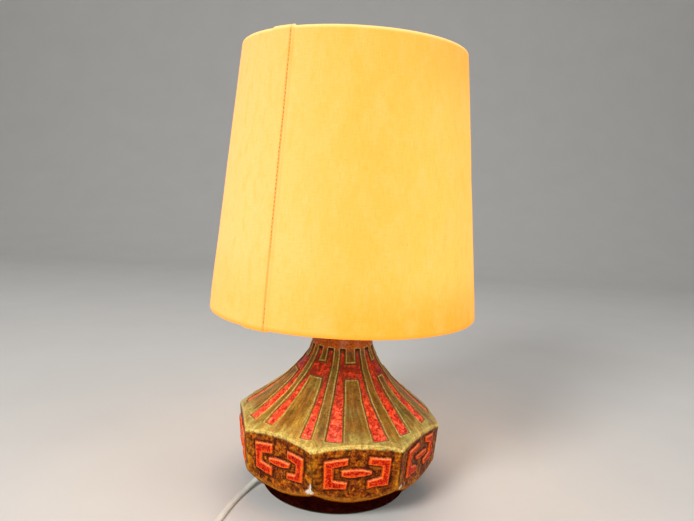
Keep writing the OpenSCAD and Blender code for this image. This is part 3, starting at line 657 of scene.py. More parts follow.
def build_base(material):
    grid = base_grid()
    points, z, arc, local = grid.points, grid.z, grid.arc, grid.local
    shoulder, side = grid.shoulder, grid.side

    def on_shoulder(values):
        return np.where(shoulder, values, 0)

    # relief of the shoulder: sunk figures with a raised outline
    figure = figure_distance(grid)
    recess = on_shoulder(1 - smooth(figure, -1.75, -0.95))
    ridge = on_shoulder(hump(figure, 0.55, 0.5))
    # groove: band just inside each figure's edge, coloured dark below as painted shadow
    groove = on_shoulder(hump(figure, -0.62, 0.62))
    sunk = on_shoulder(1 - smooth(figure, -1.3, 0.1))
    figure_top = grid.arc_at(29.5)
    # painted shadow: the top end of each sunk stripe, where its upper wall shades it
    tip_shadow = on_shoulder(hump(arc, figure_top + 1.0, 1.5) * (figure < 0.15))
    from_rim = grid.rim_arc - arc
    collar = on_shoulder(hump(arc, figure_top - 2.2, 0.8))
    height = (-0.95 * sunk + ridge * (0.42 + 0.2 * waves(points, 12.0, 8))
              + 0.28 * recess * smooth(-figure, 1.4, 3.0) + 0.22 * collar)

    # raised key pattern, sunk along its middle and round its foot
    key_gap = key_distance(grid)
    key = 1 - smooth(key_gap, -0.7, 0.3)
    key_edge = hump(key_gap, -0.95, 0.85) * (key_gap < 0.2)
    key_core = smooth(-key_gap, 1.5, 3.0)
    key_foot = hump(key_gap, 0.9, 1.1) * (key_gap > -0.3)
    rise = 1 - smooth(key_gap, -1.7, 0.7)
    height += np.where(side, 1.62 * rise - 0.34 * key_core - 0.42 * key_foot
                       + 0.12 * key_core * waves(points, 3.0, 15), 0)

    # soft unevenness of the thick glaze, then the chips
    height += grid.outer * (0.16 * waves(points, 22.0, 21) + 0.07 * waves(points, 6.0, 22))
    height += side * 0.08 * waves(points * np.array([1, 1, 0.3]), 4.0, 23)
    chip = chip_mask(grid)
    height -= 0.8 * chip

    round_step = np.roll(points, -1, 1) - np.roll(points, 1, 1)
    down_step = np.roll(points, -1, 0) - np.roll(points, 1, 0)
    raised = points + unit(np.cross(down_step, round_step)) * height[..., None]
    # the neck leans a little towards +X
    lean = np.clip((z - 70) / 60, 0, 1) * 1.6 * (1 - smooth(z, 147, 156.5)) * grid.outer
    raised[..., 0] += 0.973 * lean
    raised[..., 1] -= 0.232 * lean
    raised[..., 2] = np.maximum(raised[..., 2], 1.6)
    ob = mesh_object("glazed_base", raised * MM, grid_faces(*z.shape), material)

    # masks for the glaze
    above_foot = z - grid.foot_z
    band = np.where(grid.bowl, 1 - smooth(waves(points, 9.0, 45) * 0.5 - above_foot, 1.0, 4.3), 0)
    low_edge = (np.where(side, 1 - smooth(above_foot + waves(points, 7.0, 46) * 1.2, 0.0, 4.5), 0)
                + grid.bowl * (1 - smooth(-above_foot, 0.2, 1.0)))
    # rim: band along the rim's edge, coloured as worn glaze with a painted highlight
    below_rim = grid.rim_z - grid.level_z + waves(points, 12.0, 47) * 0.4
    rim = (on_shoulder(hump(from_rim, 0.5, 1.15))
           + np.where(side, 1 - smooth(below_rim, 0.8, 3.4), 0))
    from_corner = (HALF_SIDE - np.abs(local)) * D2R * 95
    corner = hump(from_corner, 0, 4.5)
    # painted shade: a dark line down each upright corner
    corner_shade_line = np.exp(-(from_corner + waves(points, 14.0, 41) * 0.4) ** 2 / 0.9) * side
    down = np.where(shoulder, np.clip(arc / grid.arc_end, 0, 1), 1.0)
    point_attribute(ob, "ca", recess, ridge, groove, key)
    point_attribute(ob, "cb", key_edge, side, grid.bowl | grid.inside, np.clip(rim, 0, 1))
    point_attribute(ob, "cc", chip, grid.inside, band, np.clip(low_edge, 0, 1))
    point_attribute(ob, "cd", corner, on_shoulder(smooth(from_rim, 2, 16)), corner_shade_line, key_foot)
    point_attribute(ob, "ce", key_core, tip_shadow, down, on_shoulder(smooth(figure, 0.9, 3.2)))
    # coordinates that follow the glaze as it ran down the slope
    run_length = np.where(shoulder, arc, grid.arc_end + grid.rim_z - grid.level_z)
    flow = around(60, grid.bearing * D2R, run_length) * MM
    point_attribute(ob, "flow", *np.moveaxis(flow, -1, 0))
    return ob


# ------------------------------------------------------------------ the glazed base: colour
def shoulder_color(mat, flow, broad, medium, fine, run, bands, from_rim, down, field):
    """Dull olive gold, dark in the middle of each field, paler and greener towards the rim."""
    tone = run * 0.50 + (medium * 0.26 + fine * 0.24)
    gold = mat.ramp(tone, {0.34: (54, 32, 6), 0.44: (94, 66, 16), 0.52: (124, 94, 28),
                           0.60: (150, 118, 44), 0.72: (178, 150, 76)})
    olive = mat.ramp(tone, {0.34: (60, 54, 16), 0.48: (104, 98, 36), 0.60: (136, 130, 62),
                            0.72: (168, 162, 96)})
    dark = bands.ease(0.42, 0.64) * (field * down.fit(0.25, 0.95, to=(0.85, 0.35)))
    strokes = mat.noise(scale=520, detail=4, rough=0.65, warp=1.2, at=flow, stretch=(1, 1, 0.5),
                        shift=(0.9, 0.2, 0.4))
    drift = mat.noise(scale=95, detail=4, rough=0.6, warp=0.6, at=flow, stretch=(1, 1, 0.8),
                      shift=(0.5, 0.6, 0.1)).ease(0.46, 0.60)
    near_rim = (1.0 - from_rim) * medium.fit(0.35, 0.65, to=(0.25, 0.8))
    pale = mat.ramp(strokes, {0.36: (126, 114, 54), 0.50: (158, 148, 80), 0.62: (182, 172, 102),
                              0.74: (204, 196, 134)})
    gold = mat.layers(
        gold,
        (broad.ease(0.44, 0.64, to=(0.05, 0.75)), olive),
        (mat.noise(scale=70).ease(0.55, 0.74, to=(0, 0.35)), rgb(128, 76, 48)),
        (dark, rgb(58, 34, 8)),
        (drift * 0.30, rgb(122, 74, 24)),
        (near_rim * drift.fit(0, 1, to=(1, 0.35)), pale))
    gold = mat.multiply(gold, down.fit(0.30, 0.88, to=(0.62, 1.36)))
    # the neck above the figures is brown
    neck = mat.ramp(fine, {0.35: (118, 48, 2), 0.65: (184, 98, 10)})
    return mat.mix(down.ease(0.10, 0.15, to=(0.8, 0)), gold, neck)


def recess_color(mat, broad, medium, fine, down):
    """Blotched red, broken by purple specks and veins, darker higher up."""
    vein = mat.cells(scale=300, stretch=(1, 1, 0.75), feature="DISTANCE_TO_EDGE")
    tone = mat.noise(scale=270, rough=0.6, warp=0.8) * 0.68 + fine * 0.32
    red = mat.ramp(tone, {0.38: (96, 16, 14), 0.45: (172, 34, 16), 0.505: (214, 54, 22),
                          0.56: (238, 80, 36), 0.64: (252, 124, 72)})
    pink = mat.ramp(tone, {0.38: (146, 34, 36), 0.46: (218, 68, 50), 0.54: (244, 100, 76),
                           0.64: (255, 150, 122)})
    patches = mat.noise(scale=150, rough=0.6, warp=0.4).ease(0.40, 0.58, to=(0.25, 0.85))
    red = mat.layers(
        red,
        (down.fit(0.62, 0.88, to=(0, 0.8)) * broad.fit(0.4, 0.6, to=(0.3, 1)), pink),
        (down.ease(0.62, 0.30) * patches, rgb(112, 26, 14)),
        (vein.ease(0.0, 0.12, to=(1, 0)) * medium.fit(0.46, 0.60, to=(0, 0.75)),
         rgb(84, 18, 40)),
        (mat.noise(scale=700, detail=4, rough=0.65).fit(0.55, 0.66, to=(0, 0.62)),
         rgb(74, 12, 30)))
    return mat.multiply(red, down.fit(0.35, 0.75, to=(0.74, 1.06)))


def key_color(mat, fine, upward_highlight, key_core, key_edge):
    """Orange red, darker mid-stroke, bright at worn edges, paler as painted highlight where edges
    face up.
    """
    red = mat.ramp(fine, {0.38: (130, 8, 0), 0.46: (204, 30, 2), 0.54: (244, 62, 8),
                          0.64: (255, 106, 26)})
    # edges facing up take the paler ramp as painted highlight
    edge = mat.mix(upward_highlight, mat.ramp(fine, {0.40: (248, 80, 8), 0.58: (255, 122, 32)}),
                   mat.ramp(fine, {0.40: (255, 118, 54), 0.58: (255, 164, 108)}))
    return mat.layers(
        red,
        (key_core * 0.5, mat.ramp(fine, {0.40: (96, 0, 0), 0.56: (206, 22, 4)})),
        (mat.noise(scale=820, detail=4, rough=0.7).fit(0.54, 0.63, to=(0, 0.8)), rgb(74, 4, 2)),
        (key_edge * 0.92, edge))


def side_color(mat, flow, broad, medium, fine, corner, corner_shade_line, key_foot, key, key_red, low_edge):
    """Dark brown with amber clouds, run down in streaks."""
    streak = mat.noise(scale=300, detail=4, rough=0.62, warp=0.9, at=flow, stretch=(1, 1, 0.62))
    tone = streak * 0.42 + (medium * 0.30 + fine * 0.28)
    brown = mat.ramp(tone, {0.38: (30, 6, 0), 0.45: (84, 30, 0), 0.51: (142, 64, 2),
                            0.57: (194, 104, 6), 0.66: (232, 154, 34)})
    veins = mat.cells(scale=250, stretch=(1, 1, 0.8), feature="DISTANCE_TO_EDGE", at=flow)
    return mat.layers(
        brown,
        (corner * broad.ease(0.42, 0.62, to=(0, 0.85)),
         mat.ramp(streak, {0.38: (132, 66, 2), 0.6: (224, 146, 20)})),
        (mat.noise(scale=120).ease(0.54, 0.68, to=(0, 0.65)), rgb(44, 14, 0)),
        (veins.ease(0.0, 0.09, to=(1, 0)) * medium.fit(0.44, 0.58, to=(0, 0.7)), rgb(40, 10, 0)),
        # painted shade along each upright corner
        (corner_shade_line * medium.fit(0.36, 0.52, to=(0.2, 0.85)), rgb(38, 16, 2)),
        # painted shadow round the foot of the raised keys
        (key_foot * fine.fit(0.3, 0.7, to=(0.95, 0.55)), rgb(34, 10, 2)),
        (key, key_red),
        (low_edge * 0.75, mat.ramp(medium, {0.36: (120, 62, 6), 0.62: (206, 134, 36)})))


def glaze_material():
    mat = Mat("glaze_mottled")
    flow = mat.vector("flow")
    recess, ridge, groove, key = mat.channels("ca")
    key_edge, side, under, rim = mat.channels("cb")
    chip, inside, band, low_edge = mat.channels("cc")
    corner, from_rim, corner_shade_line, key_foot = mat.channels("cd")
    key_core, tip_shadow, down, field = mat.channels("ce")
    broad = mat.noise(scale=48, detail=4, rough=0.55, warp=0.4)
    medium = mat.noise(scale=210, detail=4, rough=0.6, warp=0.5)
    fine = mat.noise(scale=640, detail=4, rough=0.62)
    # brush and run marks, down the slope
    run = mat.noise(scale=420, detail=4, rough=0.62, warp=0.15, at=flow, stretch=(1, 1, 0.10))
    bands = mat.noise(scale=190, rough=0.6, warp=0.2, at=flow, stretch=(1, 1, 0.16),
                      shift=(0.3, 0.1, 0.7))
    # painted highlight: how far the surface faces up
    upward_highlight = mat.axis(mat.node("ShaderNodeNewGeometry", "Normal"), 2).ease(-0.1, 0.65)

    outline = mat.ramp(fine, {0.32: (112, 96, 44), 0.5: (166, 152, 84), 0.68: (196, 184, 120)})
    color = mat.layers(
        shoulder_color(mat, flow, broad, medium, fine, run, bands, from_rim, down, field),
        (recess, recess_color(mat, broad, medium, fine, down)),
        # painted shadow: dark band just inside the edge of each sunk figure
        (groove * fine.fit(0.3, 0.65, to=(0.95, 0.6)),
         mat.mix(medium, rgb(34, 12, 14), rgb(70, 34, 30))),
        (ridge * bands.fit(0.35, 0.6, to=(0.55, 0.95)), outline),
        # painted shadow at the top ends of the sunk stripes
        (tip_shadow * 0.9, rgb(20, 12, 10)))
    # painted light: the shoulder is lit paler towards -X and +X
    across = mat.axis(mat.place, 0)
    painted_light_left = mat.mix(across.ease(-0.015, -0.060), (1, 1, 1), (1.55, 1.55, 1.5))
    pale = mat.mix(across.ease(0.015, 0.065), painted_light_left, (1.3, 1.36, 1.45))
    color = mat.multiply(color, pale)

    key_red = key_color(mat, fine, upward_highlight, key_core, key_edge)
    # worn glaze on the rim's edge, and a painted highlight along it
    rim_wear_and_highlight = mat.ramp(fine, {0.35: (190, 158, 66), 0.55: (238, 210, 112),
                                 0.75: (252, 236, 168)})
    # bowl and foot: amber just under the sides, then oxblood brown
    oxblood = mat.ramp(medium, {0.35: (20, 3, 2), 0.6: (48, 9, 4), 0.75: (76, 18, 6)})
    amber = mat.ramp(fine, {0.35: (146, 70, 10), 0.65: (216, 132, 34)})
    bare_body = mat.ramp(fine, {0.35: (196, 186, 172), 0.6: (240, 236, 226)})
    color = mat.layers(
        color,
        (side, side_color(mat, flow, broad, medium, fine, corner, corner_shade_line, key_foot, key, key_red,
                          low_edge)),
        (rim * medium.ease(0.36, 0.56, to=(0.45, 1.0)), rim_wear_and_highlight),
        (under.max(inside), mat.mix(band, oxblood, amber)),
        (chip, bare_body))

    height = fine * 0.5 + run * ((1.0 - recess) * 0.9)
    height = height + medium * 0.8
    edges = groove.max(ridge * 0.6)
    rough = fine.fit(0.35, 0.7, to=(0.26, 0.46)) + edges.max(under.max(side)) * 0.14
    specular = mat.layers(
        mat.mix(side, 0.28, 0.10),
        (edges, 0.05),
        (under, 0.0),
        (down.ease(0.10, 0.5, to=(0.75, 0)), 0.08))
    return mat.surface(
        color=color, rough=mat.mix(chip, rough, 0.8),
        normal=mat.bump(height, strength=0.6, distance=0.0005),
        coat=0.14 * (1.0 - edges.max(under.max(side))), coat_rough=0.14, specular=specular)


def cut_cord_tunnel(ob):
    """Cuts a stepped round hole through the foot at -X."""
    segments = 32
    angle = np.arange(segments) * 2 * math.pi / segments
    stations = ((-55.0, 4.3), (-71.8, 4.3), (-71.8, 5.0), (-86.0, 5.0))  # x, radius
    points = [np.stack([np.full(segments, x), radius * np.cos(angle),
                        CORD_Z + radius * np.sin(angle)], -1) for x, radius in stations]
    cutter = mesh_object("cord_tunnel_cutter", np.array(points) * MM,
                         tube_faces(len(stations), segments), shade_smooth=False)
    modifier = ob.modifiers.new("tunnel", "BOOLEAN")
    modifier.operation = "DIFFERENCE"
    modifier.object = cutter
    modifier.solver = "MANIFOLD"
    graph = bpy.context.evaluated_depsgraph_get()
    cut = bpy.data.meshes.new_from_object(ob.evaluated_get(graph), preserve_all_data_layers=True,
                                          depsgraph=graph)
    uncut = ob.data
    ob.modifiers.clear()
    ob.data = cut
    cut.name = ob.name
    bpy.data.meshes.remove(uncut)
    bpy.data.objects.remove(cutter)


base = build_base(glaze_material())
cut_cord_tunnel(base)
register(base, "base", "glaze", "ceramic_body")


# ------------------------------------------------------------------ the shade
def shade_radius(z):
    return SHADE_LOW_RADIUS - (z - SHADE_Z) * SHADE_SLOPE


def shade_bulge(points):
    """Slow unevenness that cloth and lining share."""
    return waves(points * np.array([1, 1, 0.45]), 90.0, 51) * 0.45


def between_hems(z):
    return (smooth(z, SHADE_Z + 3, SHADE_Z + 24)
            * (1 - smooth(z, SHADE_TOP_Z - 22, SHADE_TOP_Z - 3)))


def shade_profile():
    """Section of the cloth as (inward offset from the slant, z): from the inside top hem over
    the top wire, down the outside, round the bottom wire and up the inside."""
    wire_offset, wrap_radius, hem_offset = 2.0, 1.95, 1.95
    wall_steps = 190

    def wrap(wire_z, start):
        angles = [math.radians(start + k * (180 + 62) / 21) for k in range(22)]
        return [(wire_offset + wrap_radius * math.cos(a), wire_z + wrap_radius * math.sin(a))
                for a in angles]

    def hem(low_z):
        return [(hem_offset, low_z + k * 1.05) for k in range(9)]

    wall = [(wire_offset - wrap_radius, TOP_WIRE_Z + (LOW_WIRE_Z - TOP_WIRE_Z) * k / wall_steps)
            for k in range(1, wall_steps)]
    return np.array(hem(TOP_WIRE_Z - 12.0) + wrap(TOP_WIRE_Z, -62) + wall
                    + wrap(LOW_WIRE_Z, 180) + hem(LOW_WIRE_Z + 3.6))


def build_cover(material):
    cloth = 0.52
    columns = 720
    profile = shade_profile()
    rows = len(profile)
    tangent = unit(np.gradient(profile, axis=0))
    normal_r, normal_z = -tangent[:, 1:], -tangent[:, :1]
    bearing = np.arange(columns) * 360.0 / columns - 180.0
    from_seam = (bearing - SEAM + 180) % 360 - 180
    # the overlap rises gently and ends in a folded edge just past the stitched line
    overlap = smooth(from_seam, -11.6, -9.6) * (1 - smooth(from_seam, 1.25, 1.75))
    raised = 0.62 * overlap + 0.10 * hump(from_seam, 0.9, 0.5) - 0.16 * hump(from_seam, 0, 0.35)
    top_lift = 1.05 * overlap * (0.75 + 0.25 * hump(from_seam, 0.3, 2.5))
    angle, z = np.meshgrid(bearing * D2R, profile[:, 1])
    points = around(shade_radius(z), angle, z)
    uneven = shade_bulge(points) + waves(points * np.array([1, 1, 0.6]), 34.0, 52) * 0.14
    slub = (waves(points * np.array([1, 1, 0.05]), 3.2, 53, 40) * 0.035
            + waves(points * np.array([0.05, 0.05, 1]), 2.8, 54, 40) * 0.02)
    shift = raised + uneven * between_hems(z) + slub
    row = np.arange(rows)[:, None]
    shift = shift * ((row > 8) & (row < rows - 9))
    outer_r = shade_radius(z) - profile[:, :1] + normal_r * shift
    outer_z = (z + normal_z * shift
               + top_lift * smooth(z, SHADE_TOP_Z - 30, SHADE_TOP_Z - 2) * 0.55
               - (1 - smooth(z, SHADE_Z + 1, SHADE_Z + 12)) * (0.5 * overlap))
    inner = around(outer_r - normal_r * cloth, angle, outer_z - normal_z * cloth)
    outer = around(np.minimum(outer_r, shade_radius(z) + 0.95), angle, outer_z)
    ob = mesh_object("shade_cover", np.concatenate([outer, inner[::-1]]) * MM,
                     grid_faces(2 * rows, columns), material)

    z_all = np.concatenate([z, z[::-1]])
    low_hem = 1 - smooth(z_all, SHADE_Z + 1.2, SHADE_Z + 4.4)
    top_hem = smooth(z_all, SHADE_TOP_Z - 3.2, SHADE_TOP_Z - 0.6)
    line = hump(from_seam, 0, 0.42) + 0.3 * hump(from_seam, 1.5, 0.3)
    inside = (np.arange(2 * rows) >= rows)[:, None]
    point_attribute(ob, "sa", low_hem, top_hem, overlap, np.clip(line, 0, 1))
    point_attribute(ob, "sb", inside, (z_all - SHADE_Z) / SHADE_HEIGHT, 0, 0)
    # metres along the weft and the warp
    point_attribute(ob, "weave", bearing * D2R * 115.0 * MM, z_all * MM, 0)
    return ob


def linen_material():
    mat = Mat("linen_weave")
    weave = mat.vector("weave")
    low_hem, top_hem, overlap, line = mat.channels("sa")
    level = mat.channels("sb")[1]
    # plain weave: warp upright, weft across, both uneven
    warp_pitch, weft_pitch = 0.00085, 0.00095
    wander = mat.noise(scale=260, detail=2, at=weave)
    warp = mat.noise(scale=1500, rough=0.6, at=weave, stretch=(1.0, 0.07, 1))
    weft = mat.noise(scale=1350, rough=0.6, at=weave, stretch=(0.08, 1.0, 1))
    upright_slub = mat.noise(scale=420, detail=4, rough=0.6, at=weave,
                             stretch=(1.0, 0.06, 1)).ease(0.56, 0.74)
    level_slub = mat.noise(scale=300, detail=4, rough=0.6, at=weave,
                           stretch=(0.08, 1.0, 1)).ease(0.58, 0.76)

    def threads(axis, pitch):
        return mat.math("SINE", mat.axis(weave, axis) * (2 * math.pi / pitch) + wander * 3.0)

    net = threads(0, warp_pitch) * threads(1, weft_pitch)
    tone = warp * 0.55 + weft * 0.45
    specks = (mat.cells(scale=62, stretch=(1, 0.6, 1), at=weave).ease(0.0, 0.035, to=(1, 0))
              * mat.noise(scale=23, detail=2, at=weave).fit(0.5, 0.62, to=(0, 0.7)))
    cloth = mat.ramp(tone, {0.34: (0.42, 0.145, 0.026), 0.5: (0.46, 0.165, 0.036),
                            0.66: (0.50, 0.185, 0.05)}, linear=True)
    cloth = mat.layers(
        cloth,
        (upright_slub * 0.2, (0.38, 0.13, 0.02)),
        (level_slub * 0.2, (0.52, 0.2, 0.06)),
        (specks, rgb(150, 84, 22)),
        (overlap * 0.05, rgb(200, 130, 40)),
        (line * 0.5, rgb(180, 100, 16)),
        (low_hem * 0.5, rgb(190, 104, 20)),
        (top_hem * 0.6, rgb(214, 168, 104)))
    height = net * 0.25 + (upright_slub * 0.8 + tone * 1.2)

    # light from the bulb comes through, strongest level with it
    bulb_level, overall = 0.36, 1.0
    away = level - bulb_level
    glow = (away * away).fit(0.0, 0.42, to=(1.03, 0.94))
    glow = glow * (1.0 - overlap * 0.025) * (1.0 - line * 0.35) * overall

    def facing(bearing, low, high):
        """1 where the shade faces the bearing, fading round it."""
        reach = 0.115
        toward = (mat.axis(mat.place, 0) * (math.sin(bearing * D2R) / reach)
                  + mat.axis(mat.place, 1) * (-math.cos(bearing * D2R) / reach))
        return toward.ease(low, high)

    # painted light: the left and right flanks, which side light brightens
    left, right = facing(-84, 0.25, 1.0), facing(62, 0.35, 1.0)

    def towards_hem(start, end):
        return level.ease(start, end) * (1.0 - left * 0.5)

    # painted light: paler on both flanks, as lit from the sides; deeper in tone towards the hems
    light = mat.layers(
        (1.0, 0.415, 0.050),
        (right, (1.0, 0.515, 0.082)),
        (towards_hem(0.22, 0.02), (1.0, 0.345, 0.008)),
        (towards_hem(0.72, 0.98), (1.0, 0.415, 0.046)),
        (left, mat.mix(level.ease(0.30, 0.08), (1.0, 0.55, 0.175), (1.0, 0.50, 0.115))))
    cloud = mat.noise(scale=60, detail=5, rough=0.62, warp=0.4, at=weave, stretch=(1, 0.45, 1),
                      turn=(0, 0, 0.45))
    small_cloud = mat.noise(scale=150, detail=4, rough=0.6, at=weave, stretch=(1, 0.3, 1),
                            turn=(0, 0, 0.5))
    light = mat.layers(
        light,
        (cloud.ease(0.44, 0.66, to=(0, 0.5)), mat.mix(0.6, light, (1.0, 0.52, 0.16))),
        (small_cloud.ease(0.50, 0.64, to=(0, 0.35)), (1.0, 0.42, 0.045)))
    light = mat.multiply(light, mat.ramp(tone, {0.34: (0.99, 0.94, 0.72), 0.5: (1.0, 1.0, 1.0),
                                                0.66: (1.0, 1.04, 1.3)}, linear=True))
    light = mat.layers(
        light,
        (upright_slub * 0.12, (1.0, 0.40, 0.03)),
        (specks, rgb(150, 84, 22)),
        (line * 0.5, rgb(226, 140, 20)),
        (low_hem * 0.75, rgb(250, 150, 24)),
        (top_hem * 0.55, rgb(255, 228, 156)))
    return mat.surface(
        color=cloth, rough=0.82, normal=mat.bump(height, strength=0.28, distance=0.00018),
        sheen=0.08, sheen_rough=0.5, specular=0.15, emit=light, emit_strength=glow)


linen = linen_material()
register(build_cover(linen), "shade", "linen",
         "shade_fabric", "shade_seam_flap", "shade_top_hem", "shade_bottom_hem")

# A stitch from end to end: share of its length, share of its full radius
STITCH = np.array([(0.0, 0.02), (0.08, 0.55), (0.2, 0.88), (0.4, 1.0), (0.6, 1.0), (0.8, 0.88),
                   (0.92, 0.55), (1.0, 0.02)])
STITCH_SEGMENTS = 8
STITCH_FLATNESS = 0.75


def stitch_points(start, end, radius, up):
    """A flattened stitch lying on a surface with unit normal `up`."""
    side = unit(np.cross(end - start, up))
    angle = np.arange(STITCH_SEGMENTS) * 2 * math.pi / STITCH_SEGMENTS
    ring = np.outer(np.cos(angle), side) + STITCH_FLATNESS * np.outer(np.sin(angle), up)
    centres = start + np.outer(STITCH[:, 0], end - start)
    return centres[:, None] + radius * STITCH[:, 1][:, None, None] * ring


def build_stitches(material):
    rng = np.random.default_rng(77)
    lift = 0.59  # stitches' centre line outside the slant
    faces = tube_faces(len(STITCH), STITCH_SEGMENTS)
    stitches, all_faces = [], []
    z = SHADE_Z + 6.0
    while z < SHADE_TOP_Z - 5:
        length = 2.0 + rng.uniform(-0.45, 0.55)
        wander = (0.42 * math.sin(z * 0.037) + 0.2 * math.sin(z * 0.11 + 1)
                  + rng.uniform(-0.16, 0.16))
        bearing = SEAM + wander * 0.5
        turn = rng.uniform(-0.06, 0.06)
        start, end = (around(shade_radius(height) + lift, angle * D2R, height)
                      for height, angle in ((z, bearing), (z + length, bearing + turn)))
        up = unit(around(1.0, bearing * D2R, SHADE_SLOPE))
        first = len(stitches) * len(STITCH) * STITCH_SEGMENTS
        stitches.append(stitch_points(start, end, rng.uniform(0.28, 0.38), up))
        all_faces += [[i + first for i in face] for face in faces]
        z += length + rng.uniform(0.7, 1.6)
    return mesh_object("shade_stitches", np.array(stitches) * MM, all_faces, material,
                       outward=False)


def thread_material():
    mat = Mat("stitch_thread")
    coords = mat.coords(mat.place, (1, 1, 1), (0.5, 0.3, 0), (0, 0, 0))
    twist = mat.node("ShaderNodeTexWave", "Fac",
                     {"Vector": coords, "Scale": 900, "Distortion": 1.0, "Detail": 1.0},
                     bands_direction="DIAGONAL")
    return mat.surface(
        color=mat.mix(twist, rgb(112, 62, 0), rgb(176, 116, 14)), rough=0.6,
        normal=mat.bump(twist, strength=0.5, distance=0.0001),
        # the glow stands for the bulb's light coming through the thread
        emit=rgb(206, 134, 6), emit_strength=0.30)


register(build_stitches(thread_material()), "shade", "linen_hem")


def build_lining(material):
    columns = 360
    heights = np.linspace(LOW_WIRE_Z + 2.6, TOP_WIRE_Z - 2.6, 120)
    angle, z = np.meshgrid(np.arange(columns) * 2 * math.pi / columns, heights)
    bulge = shade_bulge(around(shade_radius(z), angle, z)) * between_hems(z)
    radius = shade_radius(z) - 0.95 + bulge
    points = np.concatenate([around(radius, angle, z), around(radius - 0.42, angle, z)[::-1]])
    return mesh_object("shade_lining", points * MM, grid_faces(2 * len(heights), columns),
                       material)


def lining_material():
    mat = Mat("lining_sheet")
    fibre = mat.noise(scale=700, detail=4, rough=0.65, stretch=(1, 1, 0.4))
    cloud = mat.noise(scale=18)
    color = mat.mix(fibre, rgb(236, 196, 128), rgb(246, 214, 156))
    return mat.surface(
        color=mat.mix(cloud.fit(0.4, 0.7, to=(0, 0.4)), color, rgb(236, 184, 104)), rough=0.75,
        normal=mat.bump(fibre, strength=0.3, distance=0.0001),
        # the glow stands for the bulb's light on and through the sheet
        emit=rgb(255, 190, 96), emit_strength=0.22)


register(build_lining(lining_material()), "shade", "lining", "shade_backing")


# ------------------------------------------------------------------ felt under the foot
def build_felt(material):
    columns = 240
    radii = np.concatenate([np.linspace(1.0, 66, 60), [67.5, 68.6, 69.2, 69.35]])
    low_z = np.where(radii > 69.0, 0.5, np.where(radii > 68.5, 0.16, 0.02))
    profile = np.array([*zip(radii, low_z), (69.35, 1.0), (69.0, 1.42), (68, 1.5),
                        *((r, 1.5) for r in radii[::-1][5:])])
    points = lathe(profile, columns)
    nap = np.clip(waves(points, 2.4, 61) * 0.05, -0.02, 0.05)
    points[..., 2] += nap * (points[..., 2] < 0.4)
    points[..., 2] = np.maximum(points[..., 2], 0.0)
    return mesh_object("felt_sole", points * MM,
                       tube_faces(len(profile), columns, last_reversed=True), material)


def felt_material():
    mat = Mat("felt_cloth")
    fibre = mat.noise(scale=900, detail=5, rough=0.7, warp=1.5)
    patches = mat.noise(scale=90)
    color = mat.mix(fibre, rgb(34, 44, 30), rgb(70, 84, 60))
    return mat.surface(
        color=mat.mix(patches.fit(0.4, 0.7, to=(0, 0.5)), color, rgb(48, 54, 40)), rough=0.95,
        sheen=0.5, normal=mat.bump(fibre, strength=0.8, distance=0.0003), specular=0.1)


register(build_felt(felt_material()), "base", "felt", "felt_pad")

# ------------------------------------------------------------------ cord
# Centre lines as (x, y, z): from the holder down and out to the switch; from there to the plug
SWITCH_PATH = [
    [0, 0, HOLDER_Z + 9], [0, 0, 160], [0, 0, 150], [0, 0, 136], [0, 0, 122], [0, 0, 110],
    [-1, 0, 90], [-8, 0, 62], [-21, 0, 36], [-38, 0, 16.5], [-52, 0, 8.4], [-62, 0, CORD_Z],
    [-69, 0, CORD_Z], [-75.8, -0.3, CORD_Z - 0.3], [-82.5, -6, 3.8], [-89.5, -15.5, 2],
    [-96.5, -26, 1.7], [-103.5, -38.5, 1.7], [-111.2, -55, 1.7], [-119, -73, 1.7],
    [-124, -98, 1.7], [-121, -129, 1.7], [-108, -150, 2.2], [-94, -158.4, 4.4],
    [-85, -160, 6.8], [-77, -160, 7], [-72, -160, 7], [-67, -160, 7]]
PLUG_PATH = [
    [-23, -160, 7], [-17, -160, 7], [-12, -160, 6.8], [-4, -160.8, 4.8], [6, -163.5, 2.2],
    [18, -167, 1.7], [30, -166.4, 1.8], [41, -160, 2.8], [50, -155.8, 5.4], [58, -155, PLUG_Z],
    [66, -155, PLUG_Z], [74, -155, PLUG_Z], [81, -155, PLUG_Z]]
CORE_OFFSET = 1.1
LOBE_RADIUS = 1.56


def build_cord(name, path, heading, material):
    """Two cores side by side under one skin; `heading` sets their plane where the cord is
    upright."""
    centre = spline(path, 12)
    tangent = unit(np.gradient(centre, axis=0))
    level = unit(tangent * np.array([1, 1, 0]) + 0.02 * np.array(heading))
    side = np.stack([-level[:, 1], level[:, 0], np.zeros(len(level))], 1)
    up = unit(np.cross(tangent, side))
    # outline: two lobes with a shallow groove between them
    segments = 40
    angle = 2 * math.pi * np.arange(segments) / segments
    cos, sin = np.cos(angle), np.sin(angle)
    x = (CORE_OFFSET + LOBE_RADIUS) * np.copysign(np.abs(cos) ** 0.82, cos)
    beyond = np.maximum(np.abs(x) - CORE_OFFSET, 0)
    lobe = np.sqrt(np.maximum(LOBE_RADIUS ** 2 - beyond ** 2, 0))
    y = np.copysign(np.minimum(lobe, np.abs(1.7 * sin) + 0.35 * lobe), sin)
    y *= 1 - 0.26 * hump(x, 0, 0.42)
    points = centre[:, None] + x[:, None] * side[:, None] + y[:, None] * up[:, None]
    return mesh_object(name, points * MM,
                       tube_faces(len(centre), segments, last_reversed=True), material)


def cord_material():
    mat = Mat("cord_skin")
    grime = mat.noise(scale=70, detail=4, rough=0.6).ease(0.45, 0.75, to=(0, 0.5))
    spots = mat.noise(scale=400, detail=4, rough=0.7).fit(0.62, 0.76, to=(0, 0.4))
    fine = mat.noise(scale=1800)
    return mat.surface(
        color=mat.layers(rgb(238, 235, 224), (grime, rgb(206, 198, 178)),
                         (spots, rgb(170, 158, 134))),
        rough=fine.fit(0.3, 0.7, to=(0.34, 0.5)),
        normal=mat.bump(fine, strength=0.2, distance=0.00005), subsurface=0.05)


